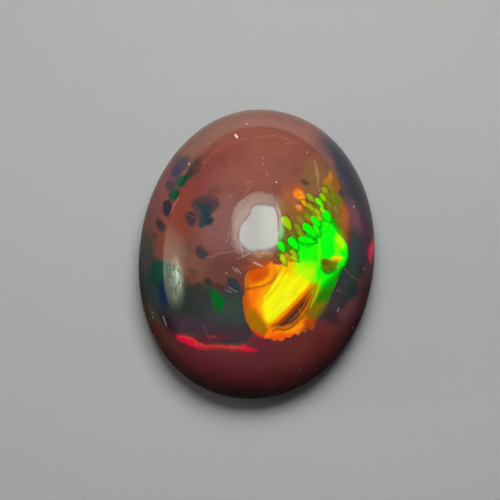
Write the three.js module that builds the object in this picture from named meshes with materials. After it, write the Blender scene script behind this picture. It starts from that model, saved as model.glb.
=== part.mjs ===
// A black opal cabochon: one oval stone, cut with a high polished dome that rolls over a rounded girdle
// onto a bevel and a flat back. It lies on its back.
// Millimetres, +Z up. The origin is the middle of the flat back, and the oval's long way runs along Y.

import * as THREE from "three";

// Driving dimensions
const LENGTH = 13.0; // along Y, at the girdle
const WIDTH = 10.1; // along X, at the girdle
const HEIGHT = 5.1; // from the flat back to the top of the dome
const GIRDLE_HEIGHT = 1.0; // how far above the back the stone is widest
const BACK_SHARE = 0.86; // the flat back's length and width, as a share of the girdle's

// The oval: 2 would be a true ellipse, and a little more fills out its shoulders
const OUTLINE_POWER = 2.06;
// A hand-cut stone is slightly three-cornered, with its fullest shoulder at the lower left
const LOPSIDED_SHARE = 0.005;
const FULLEST_AT = THREE.MathUtils.degToRad(232);

// How finely the surface is cut into flats
const DOME_STEPS = 24;
const BEVEL_STEPS = 6;
const STEPS_ROUND = 96;

const BODY_COLOUR = 0x6b3833; // smoky red-brown
const POLISH_ROUGHNESS = 0.06;

/** The stone's half section, from the apex down over the girdle and in to the middle of the back.
 * The distance from the axis is a share of the girdle's, and the height is in millimetres. */
function halfSection() {
  const points = [];
  for (let step = 0; step < DOME_STEPS; step++) {
    const angle = ((step / DOME_STEPS) * Math.PI) / 2;
    const rise = (HEIGHT - GIRDLE_HEIGHT) * Math.cos(angle);
    points.push(new THREE.Vector2(Math.sin(angle), GIRDLE_HEIGHT + rise));
  }
  for (let step = 0; step <= BEVEL_STEPS; step++) {
    const angle = ((step / BEVEL_STEPS) * Math.PI) / 2;
    const inset = (1 - BACK_SHARE) * (1 - Math.cos(angle));
    const height = step === BEVEL_STEPS ? 0 : GIRDLE_HEIGHT * (1 - Math.sin(angle));
    points.push(new THREE.Vector2(1 - inset, height));
  }
  points.push(new THREE.Vector2(0, 0));
  return points.reverse();
}

/** How far the outline stands out at an angle, where a unit circle would give 1. */
function outlineReach(angle) {
  const across = Math.abs(Math.cos(angle)) ** OUTLINE_POWER;
  const along = Math.abs(Math.sin(angle)) ** OUTLINE_POWER;
  const fullness = 1 + LOPSIDED_SHARE * Math.cos(3 * (angle - FULLEST_AT));
  return fullness * (across + along) ** (-1 / OUTLINE_POWER);
}

/** Pulls a round turned solid out into the oval, level by level. */
function pullToOval(geometry) {
  const places = geometry.getAttribute("position");
  for (let i = 0; i < places.count; i++) {
    const x = places.getX(i);
    const y = places.getY(i);
    const reach = outlineReach(Math.atan2(y, x));
    places.setX(i, x * reach);
    places.setY(i, y * reach);
  }
}

/** Brings the solid to its stated length and width, centred over the origin. */
function fitToSize(geometry) {
  geometry.computeBoundingBox();
  const size = geometry.boundingBox.getSize(new THREE.Vector3());
  const middle = geometry.boundingBox.getCenter(new THREE.Vector3());
  geometry.translate(-middle.x, -middle.y, 0);
  geometry.scale(WIDTH / size.x, LENGTH / size.y, 1);
}

function opalCabochon() {
  const geometry = new THREE.LatheGeometry(halfSection(), STEPS_ROUND);
  geometry.rotateX(Math.PI / 2); // the turning axis becomes +Z
  pullToOval(geometry);
  fitToSize(geometry);
  geometry.computeVertexNormals();
  const polishedOpal = new THREE.MeshStandardMaterial({
    color: BODY_COLOUR,
    roughness: POLISH_ROUGHNESS,
    metalness: 0,
  });
  const stone = new THREE.Mesh(geometry, polishedOpal);
  stone.name = "opal_cabochon";
  return stone;
}

const blackOpal = new THREE.Group();
blackOpal.add(opalCabochon());

export default blackOpal;
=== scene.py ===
import math
from functools import partial
from typing import NamedTuple

import bpy
import numpy as np
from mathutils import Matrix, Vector, noise


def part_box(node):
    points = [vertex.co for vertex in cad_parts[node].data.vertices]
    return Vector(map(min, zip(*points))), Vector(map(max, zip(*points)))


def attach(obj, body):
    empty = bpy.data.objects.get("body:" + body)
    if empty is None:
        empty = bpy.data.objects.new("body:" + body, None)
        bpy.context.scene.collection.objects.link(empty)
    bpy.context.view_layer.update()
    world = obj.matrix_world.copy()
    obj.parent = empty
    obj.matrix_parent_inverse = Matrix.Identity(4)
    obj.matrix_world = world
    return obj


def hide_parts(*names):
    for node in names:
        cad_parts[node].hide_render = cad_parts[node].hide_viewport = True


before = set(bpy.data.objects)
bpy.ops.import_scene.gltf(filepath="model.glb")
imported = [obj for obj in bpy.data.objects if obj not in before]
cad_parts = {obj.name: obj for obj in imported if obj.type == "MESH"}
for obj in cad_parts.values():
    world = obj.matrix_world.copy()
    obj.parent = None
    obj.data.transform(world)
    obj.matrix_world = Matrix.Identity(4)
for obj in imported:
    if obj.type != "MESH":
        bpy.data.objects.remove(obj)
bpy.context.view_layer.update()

bl_info = {
    "name": "Black Opal Cabochon",
    "version": (1, 0, 0),
    "blender": (4, 5, 0),
    "location": "3D View > Sidebar > Opal",
    "description": "Cuts and polishes one black opal cabochon and sets it on a studio table",
    "category": "Add Mesh",
}

MM = 0.001
NODE = "opal_cabochon"
PIECE = "black_opal"
LOW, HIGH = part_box(NODE)

# Kinds of node that are often used
MATH = "ShaderNodeMath"
VECTOR_MATH = "ShaderNodeVectorMath"
MAP_RANGE = "ShaderNodeMapRange"
MIX = "ShaderNodeMix"
NOISE = "ShaderNodeTexNoise"
ATTRIBUTE = "ShaderNodeAttribute"
GROUP = "ShaderNodeGroup"

# The picture is square, and the marks on the stone's face are placed in its pixels, from the top left.
# There are PER_MM of them to a millimetre of the stone
PICTURE_SIDE = 500
PER_MM = 23.0
# The camera's sensor, in mm, and how near and far it sees, in metres
SENSOR = 36.0
CLIP_START = 0.01
CLIP_END = 10.0

# Names of what the mesh carries for its material
FACE_MAP = "face_map"
BODY_PAINT = "body_paint"
FLASH_PAINT = "flash_paint"
FLASH_DEPTH = "flash_depth"
SCALE_PAINT = "scale_paint"
SCALE_DEPTH = "scale_depth"
SCALE_COVER = "scale_cover"
PEEL = "peel"

# Where the dome and the bevel end on the ball that is shaped, as polar angles
DOME_ENDS = math.radians(116)
BEVEL_ENDS = math.radians(136)
QUARTER = math.pi / 2
# The side of the cube that the ball is made from, and how strong the finer waves in the polish are
CUBE_SIDE = 2.0
WAVE_ROUGHNESS = 0.45

# How far off a point that faces straight away from the picture counts as, in its pixels, so that no mark
# of the face comes through on the far side, and how far off a point is where it is painted as hidden
HIDDEN_REACH = 110.0
HIDDEN_BLEND = 8.0
# How far off a patch its depth is still worked out, in pixels
FAR_OFF = 40.0
# Points lower than this are on the flat back, in mm
BACK_TOP = 0.02
# Brings the widest place of a leaf, a good third of the way along, to its stated width, and how
# quickly the leaf narrows to its tip
LEAF_SWELL = 2.49
LEAF_TIP = 0.9

# The softer marks' edges wobble in long and short waves: how wide each is, in mm, and its reach in pixels
WOBBLES = ((0.8, 2.4), (0.2, 1.1))
WOBBLE_SEED = 35
# How squarely a point faces the picture where the wobble starts to grow, how much it grows by, how
# strongly it moves the far ends of marks that run over the rim, and the least it leaves of their reach
EDGE_ON = 0.3
EDGE_ON_PULL = 3.0
TURN_WOBBLE = 0.4
LEAST_TURN = 0.3

# Waves to a millimetre in the jelly's clouds, and in the grain that breaks up glowing threads, frays
# edges and lies in the polish as an orange peel
CLOUDS_PER_MM = 1.3
GRAIN_PER_MM = 8.0
# What most of a noise lies between, when it has many octaves and when it has few
CLOUD_SPAN = (0.3, 0.7)
GRAIN_SPAN = (0.35, 0.65)
# What clouds, glowing threads and the flash's fibres multiply their colour by, and the fibres' hue, of
# which 0.5 is unchanged
CLOUD_SHADE = (0.86, 1.12)
THREAD_SHADE = (0.72, 1.2)
FIBRE_SHADE = (0.96, 1.17)
FIBRE_HUE = (0.495, 0.504)
# The way the flash's fibres lie on the picture and their size there, in pixels
FIBRES_LIE = math.radians(-52)
FIBRE_SIZE = (22.0, 6.0, 100.0)
# How far the flash's edge frays, of which a scale's does a share, and how soft their edges and a
# stroke's are, in pixels
FRAY = 1.4
SCALE_FRAY = 0.5
FLASH_EDGE = 2.0
SCALE_EDGE = 1.5
STROKE_EDGE = 0.9
# A scale's shade from its edge to its middle, and how far in that is, in pixels
SCALE_SHADE = (0.66, 1.14)
SCALE_MIDDLE = 2.4
# The seam's shade round a dull scale and a scale of the glow SEAM_GLOW, how far outside the scale's
# edge it is darkest, and how far its shade reaches, in pixels
SEAM_SHADE = (0.8, 0.5)
SEAM_GLOW = 0.6
SEAM_OUT = 0.4
SEAM_REACH = 1.3
# The golden seam of scales that don't reach the glow GILT_GLOW: its colour, cover and reach
GILT = "#b0882e"
GILT_GLOW = 0.4
GILT_COVER = 0.25
GILT_REACH = 0.9
# How deep the polish's orange peel is
PEEL_DEPTH = 0.005 * MM

# How many rings fill a panel, how strongly they crowd at its edge, and how the threads of its cloth lean
RINGS = 16
RINGS_CROWD = 1.6
THREADS_LEAN = math.radians(80)
# The graded mat is at its palest straight behind the stone. Its level falls off with the share of a
# heading that goes that way, by a power, down to nothing, as painted shade before the stone
MAT_WAY = (0.0, 1.0, 0.0)
MAT_DARK_AT = -0.4
MAT_FALL = 1.8
MAT_LIFT = 0.01 * MM
# How far from the middle of the stone its own shade reaches, and how much of the level is left in it
MAT_SHADE_FROM = 8 * MM
MAT_SHADE_ENDS = 25 * MM
MAT_SHADE = 0.4


def linear(hex_colour):
    """An sRGB hex colour as the linear RGBA that Blender's sockets take."""
    shares = [int(hex_colour[i : i + 2], 16) / 255 for i in (1, 3, 5)]
    return (*[s / 12.92 if s <= 0.04045 else ((s + 0.055) / 1.055) ** 2.4 for s in shares], 1.0)


def add(tree, kind, inputs=(), **settings):
    """Adds a node with its settings. Its inputs are given by name or in their order, each as a value, a
    socket, or a node whose first output it takes."""
    node = tree.nodes.new(kind)
    for name, value in settings.items():
        setattr(node, name, value)
    for key, value in inputs.items() if isinstance(inputs, dict) else enumerate(inputs):
        if isinstance(value, bpy.types.Node):
            value = value.outputs[0]
        if isinstance(value, bpy.types.NodeSocket):
            tree.links.new(value, node.inputs[key])
        else:
            node.inputs[key].default_value = value
    return node


def new_group(name, kind, inputs, outputs):
    """A node group with its sockets, what adds a node to it, and the sockets of what it is given."""
    tree = bpy.data.node_groups.new(name, kind)
    for way, sockets in (("INPUT", inputs), ("OUTPUT", outputs)):
        for socket, holds in sockets.items():
            tree.interface.new_socket(socket, in_out=way, socket_type="NodeSocket" + holds)
    return tree, partial(add, tree), add(tree, "NodeGroupInput").outputs


def new_material(name):
    """A material without nodes, and what adds a node to it."""
    made = bpy.data.materials.new(name)
    made.use_nodes = True
    made.node_tree.nodes.clear()
    return made, partial(add, made.node_tree)


class CabochonShape(bpy.types.PropertyGroup):
    """The cut of the stone."""

    length: bpy.props.FloatProperty(
        name="Length", description="Girdle along Y", default=HIGH.y - LOW.y, unit="LENGTH"
    )
    width: bpy.props.FloatProperty(
        name="Width", description="Girdle along X", default=HIGH.x - LOW.x, unit="LENGTH"
    )
    height: bpy.props.FloatProperty(
        name="Height", description="From the flat back to the top", default=HIGH.z - LOW.z, unit="LENGTH"
    )
    girdle_height: bpy.props.FloatProperty(
        name="Girdle Height", description="Where the stone is widest", default=1.0 * MM, unit="LENGTH"
    )
    back_share: bpy.props.FloatProperty(
        name="Back Share", description="The flat back's size as a share of the girdle's", default=0.86,
        min=0, max=1, subtype="FACTOR",
    )
    outline_power: bpy.props.FloatProperty(
        name="Outline Power", description="2 is a true oval, and more fills the shoulders", default=2.06
    )
    lopsided_share: bpy.props.FloatProperty(
        name="Lopsided Share", description="How three-cornered the hand-cut oval is", default=0.005
    )
    fullest_at: bpy.props.FloatProperty(
        name="Fullest At", description="Where the fullest shoulder is", default=math.radians(232),
        subtype="ANGLE",
    )
    ripple_depth: bpy.props.FloatProperty(
        name="Ripple Depth", description="How deep the polish's waves are", default=0.006 * MM,
        unit="LENGTH",
    )
    ripple_width: bpy.props.FloatProperty(
        name="Ripple Width", description="How wide one wave is", default=1.6 * MM, unit="LENGTH"
    )
    steps: bpy.props.IntProperty(
        name="Steps", description="Vertices along each side of the ball that is shaped", default=129
    )
    seed: bpy.props.IntProperty(name="Seed", description="Picks the polish's waviness", default=7)


class OpalFinish(bpy.types.PropertyGroup):
    """The look of the opal."""

    body: bpy.props.StringProperty(
        name="Body", description="Smoky red-brown body colour, sRGB hex", default="#7e453a"
    )
    # Painted light: the share of the play of colour's colour that is given off as emission
    play_glow: bpy.props.FloatProperty(
        name="Play Glow", description="How strongly the play of colour shines", default=0.55,
        min=0, max=1, subtype="FACTOR",
    )
    back: bpy.props.FloatProperty(
        name="Lapped Back", description="Roughness of the lapped flat back", default=0.34,
        min=0, max=1, subtype="FACTOR",
    )
    polish: bpy.props.FloatProperty(
        name="Polish", description="Roughness of the polished dome", default=0.045,
        min=0, max=1, subtype="FACTOR",
    )
    refraction: bpy.props.FloatProperty(
        name="Refraction", description="Precious opal's index of refraction", default=1.42
    )


class StudioStage(bpy.types.PropertyGroup):
    """The table, the lights and the camera."""

    elevation: bpy.props.FloatProperty(
        name="Elevation", description="Camera above the horizon", default=math.radians(70), subtype="ANGLE"
    )
    azimuth: bpy.props.FloatProperty(
        name="Azimuth", description="Camera round to the right", default=math.radians(6), subtype="ANGLE"
    )
    distance: bpy.props.FloatProperty(
        name="Distance", description="Camera from what it aims at", default=120 * MM, unit="LENGTH"
    )
    lens: bpy.props.FloatProperty(
        name="Lens", description="Focal length in mm", default=201.5, unit="CAMERA"
    )
    aim: bpy.props.FloatVectorProperty(
        name="Aim", description="What the camera aims at", default=(-0.3 * MM, -0.055 * MM, 1.5 * MM),
        subtype="TRANSLATION", unit="LENGTH",
    )
    table: bpy.props.StringProperty(
        name="Table", description="Pale table colour, sRGB hex", default="#a6a1a1"
    )
    mat_far: bpy.props.StringProperty(
        name="Mat Far", description="The mirrored mat behind the stone, sRGB hex", default="#fffaf2"
    )
    # The mat's dark front is painted shade
    mat_near: bpy.props.StringProperty(
        name="Mat Near", description="The mirrored mat before the stone, sRGB hex", default="#1c1b1a"
    )
    table_size: bpy.props.FloatProperty(
        name="Table Size", description="Side of the table top", default=1200 * MM, unit="LENGTH"
    )
    room: bpy.props.StringProperty(
        name="Room", description="Colour of the dim room, sRGB hex", default="#5e6063"
    )


def cut_cabochon_tree():
    """A ball of even squares, pulled into a dome, a bevel and a flat back, then out to the oval."""
    tree, node, given = new_group(
        "Cut Cabochon", "GeometryNodeTree",
        {"Length": "Float", "Width": "Float", "Height": "Float", "Girdle Height": "Float",
         "Back Share": "Float", "Outline Power": "Float", "Lopsided Share": "Float", "Fullest At": "Float",
         "Ripple Depth": "Float", "Ripple Width": "Float", "Steps": "Int", "Seed": "Int",
         "Opal": "Material"},
        {"Stone": "Geometry"},
    )
    tree.is_modifier = True

    # An evenly divided ball. Its polar angle runs from the top of the dome to the middle of the back
    steps = given["Steps"]
    cube = node("GeometryNodeMeshCube", ((CUBE_SIDE, CUBE_SIDE, CUBE_SIDE), steps, steps, steps))
    place = node("GeometryNodeInputPosition")
    angles = node(VECTOR_MATH, {0: place, "Scale": math.pi / 4}, operation="SCALE")
    evened = node(VECTOR_MATH, (angles,), operation="TANGENT")
    ball = node(VECTOR_MATH, (evened,), operation="NORMALIZE")
    at = node("ShaderNodeSeparateXYZ", (ball,)).outputs
    polar = node(MATH, (at["Z"],), operation="ARCCOSINE")
    heading = node(MATH, (at["Y"], at["X"]), operation="ARCTAN2")

    # Most of the ball goes to the dome, where the picture looks
    dome_turn = node(MAP_RANGE, (polar, 0.0, DOME_ENDS, 0.0, QUARTER))
    bevel_turn = node(MAP_RANGE, (polar, DOME_ENDS, BEVEL_ENDS, 0.0, QUARTER))
    inward = node(MAP_RANGE, (polar, BEVEL_ENDS, math.pi, 0.0, given["Back Share"]))

    # Distance from the axis: out along the dome, in along the bevel, and in along the back
    bevel_inset = node(MATH, (1.0, given["Back Share"]), operation="SUBTRACT")
    dome_sine = node(MATH, (dome_turn,), operation="SINE")
    bevel_cosine = node(MATH, (bevel_turn,), operation="COSINE")
    bevel_in = node(MATH, (1.0, bevel_cosine), operation="SUBTRACT")
    bevel_loss = node(MATH, (bevel_in, bevel_inset), operation="MULTIPLY")
    to_bevel = node(MATH, (dome_sine, bevel_loss), operation="SUBTRACT")
    out = node(MATH, (to_bevel, inward), operation="SUBTRACT")

    # Height: down along the dome to the girdle, and down along the bevel to the back
    dome_height = node(MATH, (given["Height"], given["Girdle Height"]), operation="SUBTRACT")
    dome_cosine = node(MATH, (dome_turn,), operation="COSINE")
    dome_rise = node(MATH, (dome_height, dome_cosine), operation="MULTIPLY")
    bevel_sine = node(MATH, (bevel_turn,), operation="SINE")
    bevel_left = node(MATH, (1.0, bevel_sine), operation="SUBTRACT")
    bevel_rise = node(MATH, (given["Girdle Height"], bevel_left), operation="MULTIPLY")
    height = node(MATH, (dome_rise, bevel_rise), operation="ADD")

    # The oval: a power a little over 2 fills its shoulders, and a third harmonic leans it
    cosine = node(MATH, (heading,), operation="COSINE")
    sine = node(MATH, (heading,), operation="SINE")
    power = given["Outline Power"]
    sizes = [node(MATH, (part,), operation="ABSOLUTE") for part in (cosine, sine)]
    powers = [node(MATH, (size, power), operation="POWER") for size in sizes]
    total = node(MATH, powers, operation="ADD")
    root = node(MATH, (-1.0, power), operation="DIVIDE")
    oval_reach = node(MATH, (total, root), operation="POWER")
    from_fullest = node(MATH, (heading, given["Fullest At"]), operation="SUBTRACT")
    thrice = node(MATH, (from_fullest, 3.0), operation="MULTIPLY")
    swing = node(MATH, (thrice,), operation="COSINE")
    fullness = node(MATH, (swing, given["Lopsided Share"], 1.0), operation="MULTIPLY_ADD")
    reach = node(MATH, (oval_reach, fullness), operation="MULTIPLY")
    spread = node(MATH, (out, reach), operation="MULTIPLY")
    across = node(MATH, (spread, cosine), operation="MULTIPLY")
    along = node(MATH, (spread, sine), operation="MULTIPLY")
    round_place = node("ShaderNodeCombineXYZ", (across, along, height))
    round_stone = node("GeometryNodeSetPosition", {"Geometry": cube, "Position": round_place})

    # Out to its real length and width, centred over the origin
    box = node("GeometryNodeBoundBox", (round_stone,)).outputs
    extent = node(VECTOR_MATH, (box["Max"], box["Min"]), operation="SUBTRACT")
    real = node("ShaderNodeCombineXYZ", (given["Width"], given["Length"], given["Height"]))
    stretch = node(VECTOR_MATH, (real, extent), operation="DIVIDE")
    middle = node(VECTOR_MATH, (box["Max"], box["Min"]), operation="ADD")
    shift = node(VECTOR_MATH, (middle, (-0.5, -0.5, 0.0)), operation="MULTIPLY")
    centred = node(VECTOR_MATH, (place, shift), operation="ADD")
    fitted = node(VECTOR_MATH, (centred, stretch), operation="MULTIPLY")
    stone = node("GeometryNodeSetPosition", {"Geometry": round_stone, "Position": fitted})

    # The waviness that a lap leaves only takes stone away, and it leaves the flat back alone
    per_wave = node(MATH, (1.0, given["Ripple Width"]), operation="DIVIDE")
    wave = node(
        NOISE,
        {"Vector": place, "W": given["Seed"], "Scale": per_wave, "Detail": 2.0, "Roughness": WAVE_ROUGHNESS},
        noise_dimensions="4D",
    )
    level = node("ShaderNodeSeparateXYZ", (place,)).outputs["Z"]
    fade = node(MAP_RANGE, (level, 0.0, given["Girdle Height"], 0.0, given["Ripple Depth"]))
    taken = node(MATH, (wave, fade), operation="MULTIPLY")
    inside = node(MATH, (taken, -1.0), operation="MULTIPLY")
    normal = node("GeometryNodeInputNormal")
    offset = node(VECTOR_MATH, {0: normal, "Scale": inside}, operation="SCALE")
    rippled = node("GeometryNodeSetPosition", {"Geometry": stone, "Offset": offset})
    shaded = node("GeometryNodeSetShadeSmooth", (rippled,))
    realised = node("GeometryNodeRealizeInstances", (shaded,))
    finished = node("GeometryNodeSetMaterial", {"Geometry": realised, "Material": given["Opal"]})
    node("NodeGroupOutput", (finished,))
    return tree


def photo_axes(stage):
    """The camera's place, and the ways right, up and back from it."""
    away = math.cos(stage.elevation)
    back = Vector(
        (math.sin(stage.azimuth) * away, -math.cos(stage.azimuth) * away, math.sin(stage.elevation))
    )
    right = Vector((math.cos(stage.azimuth), math.sin(stage.azimuth), 0.0))
    return Vector(stage.aim) + back * stage.distance, right, back.cross(right), back


class Points(NamedTuple):
    """The stone's points, in the ways that its marks are laid out."""

    picture: np.ndarray  # where the picture shows each point, in its pixels
    facing: np.ndarray  # how squarely each point faces the picture: 1 straight on, 0 edge on, -1 away
    turned: np.ndarray  # 0 where it shows the point, and more the further the point faces away
    place: np.ndarray  # where the point is on the stone, in mm


def map_points(stage, places, normals):
    """The stone's points on the picture and on the stone."""
    eye, right, up, back = (np.array(v) for v in photo_axes(stage))
    pixels = stage.lens / SENSOR * PICTURE_SIDE
    from_eye = places - eye
    depth = -from_eye @ back
    from_middle = pixels * np.stack((from_eye @ right, -from_eye @ up), axis=1) / depth[:, None]
    facing = normals @ back
    turned = HIDDEN_REACH * np.clip(-facing, 0, None)
    return Points(PICTURE_SIDE / 2 + from_middle, facing, turned, places / MM)


def wobbled(points):
    """The same points, pulled about a little, which gives marks natural edges. Where the picture sees the
    stone edge on they are pulled further, as a mark that runs over the rim would look cut off there."""
    noise.seed_set(WOBBLE_SEED)
    pull = sum(
        reach * np.array([noise.noise_vector(Vector(place) / width) for place in points.place])
        for width, reach in WOBBLES
    )
    edge_on = np.clip(1 - points.facing / EDGE_ON, 0, 1)[:, None]
    return points._replace(
        picture=points.picture + (1 + edge_on * EDGE_ON_PULL) * pull[:, :2],
        turned=points.turned * np.clip(1 + TURN_WOBBLE * pull[:, 2], LEAST_TURN, None),
        place=points.place + pull / PER_MM,
    )


def oval(at, half, turn=0.0):
    """An oval on the picture: half its length and width, and the way it lies, anticlockwise from X."""
    angle = math.radians(turn)
    long_way = np.array((math.cos(angle), -math.sin(angle)))
    short_way = np.array((math.sin(angle), math.cos(angle)))

    def depth(points):
        away = points.picture - at
        share = np.hypot(away @ long_way / half[0], away @ short_way / half[1])
        return (1 - share) * min(half) - points.turned

    return depth


def smooth(knots, closed, per_span=6):
    """A curve through knots, which may hold more numbers than a place."""
    knots = np.array(knots, float)
    if closed:
        before, after, last = (np.roll(knots, shift, axis=0) for shift in (1, -1, -2))
    else:
        ends = np.concatenate((knots[:1], knots, knots[-1:]))
        before, knots, after, last = ends[:-3], ends[1:-2], ends[2:-1], ends[3:]
    spans = [
        0.5 * (2 * knots + (after - before) * t + (2 * before - 5 * knots + 4 * after - last) * t**2
               + (3 * knots - before - 3 * after + last) * t**3)
        for t in np.arange(per_span) / per_span
    ]
    line = np.stack(spans, axis=1).reshape(-1, knots.shape[1])
    return np.concatenate((line, line[:1])) if closed else np.concatenate((line, after[-1:]))


def off_line(places, start, end):
    """How far places lie from a straight line, and the share of the line that is passed there."""
    way = end[:2] - start[:2]
    away = places - start[:2]
    share = np.clip(away @ way / (way @ way), 0, 1)
    return np.hypot(*(away - share[:, None] * way).T), share


def curve(*knots):
    """A patch inside a smooth closed outline on the picture."""
    line = smooth(knots, closed=True)
    low, high = line.min(axis=0) - FAR_OFF, line.max(axis=0) + FAR_OFF

    def depth(points):
        depths = np.full(len(points.picture), -FAR_OFF)
        near = np.all((points.picture > low) & (points.picture < high), axis=1)
        here = points.picture[near]
        nearest = np.full(len(here), np.inf)
        inside = np.zeros(len(here), bool)
        for start, end in zip(line, line[1:]):
            nearest = np.minimum(nearest, off_line(here, start, end)[0])
            (run, rise), away = end - start, here - start
            beside = (start[1] > here[:, 1]) != (end[1] > here[:, 1])
            inside[beside] ^= away[beside, 0] < away[beside, 1] / rise * run
        depths[near] = np.where(inside, nearest, -nearest)
        return depths - points.turned

    return depth


def streak(*knots):
    """A line on the picture. Each knot is a place and half the line's width there."""
    line = smooth(knots, closed=False)

    def depth(points):
        deepest = np.full(len(points.picture), -FAR_OFF)
        for start, end in zip(line, line[1:]):
            off, share = off_line(points.picture, start, end)
            deepest = np.maximum(deepest, start[2] + share * (end[2] - start[2]) - off)
        return deepest - points.turned

    return depth


def leaf(root, tip, half_width):
    """A snakeskin scale on the picture: round at its root and pointed at its tip."""
    way = np.subtract(tip, root)
    length = math.hypot(*way)

    def depth(points):
        away = points.picture - root
        along = away @ way / length**2
        across = np.abs(away @ (-way[1], way[0])) / length
        inside = np.clip(along, 0, 1)
        width = half_width * LEAF_SWELL * np.sqrt(inside) * (1 - inside) ** LEAF_TIP
        return width - np.hypot(across, (along - inside) * length) - points.turned

    return depth


def flank(azimuth, height, half):
    """An oval on the stone's side, by its place round the stone in degrees, its height in mm, and half its
    width and height in mm."""

    def depth(points):
        x, y, z = points.place.T
        round_by = (np.degrees(np.arctan2(y, x)) - azimuth + 180) % 360 - 180
        share = np.hypot(np.radians(round_by) * np.hypot(x, y) / half[0], (z - height) / half[1])
        on_side = np.where(z > BACK_TOP, 0, FAR_OFF)
        return (1 - share) * min(half) * PER_MM - on_side

    return depth


def back_oval(at, half, turn=0.0):
    """An oval on the flat back, in mm, as seen through the stone from above."""
    on_picture = oval(at, half, turn)

    def depth(points):
        flat = points._replace(picture=points.place[:, :2] * (1, -1), turned=0)
        return np.where(points.place[:, 2] < BACK_TOP, on_picture(flat) * PER_MM, -FAR_OFF)

    return depth


class Mark(NamedTuple):
    """A patch of colour in the opal."""

    name: str
    colour: str
    shape: object  # gives each point's depth inside the patch
    edge: float  # how wide its soft edge is, in pixels
    cover: float = 1.0
    # A mark's glow is painted light, given off as emission
    glow: float = 0.0  # how much of its colour shines, of the most that any does
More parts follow.
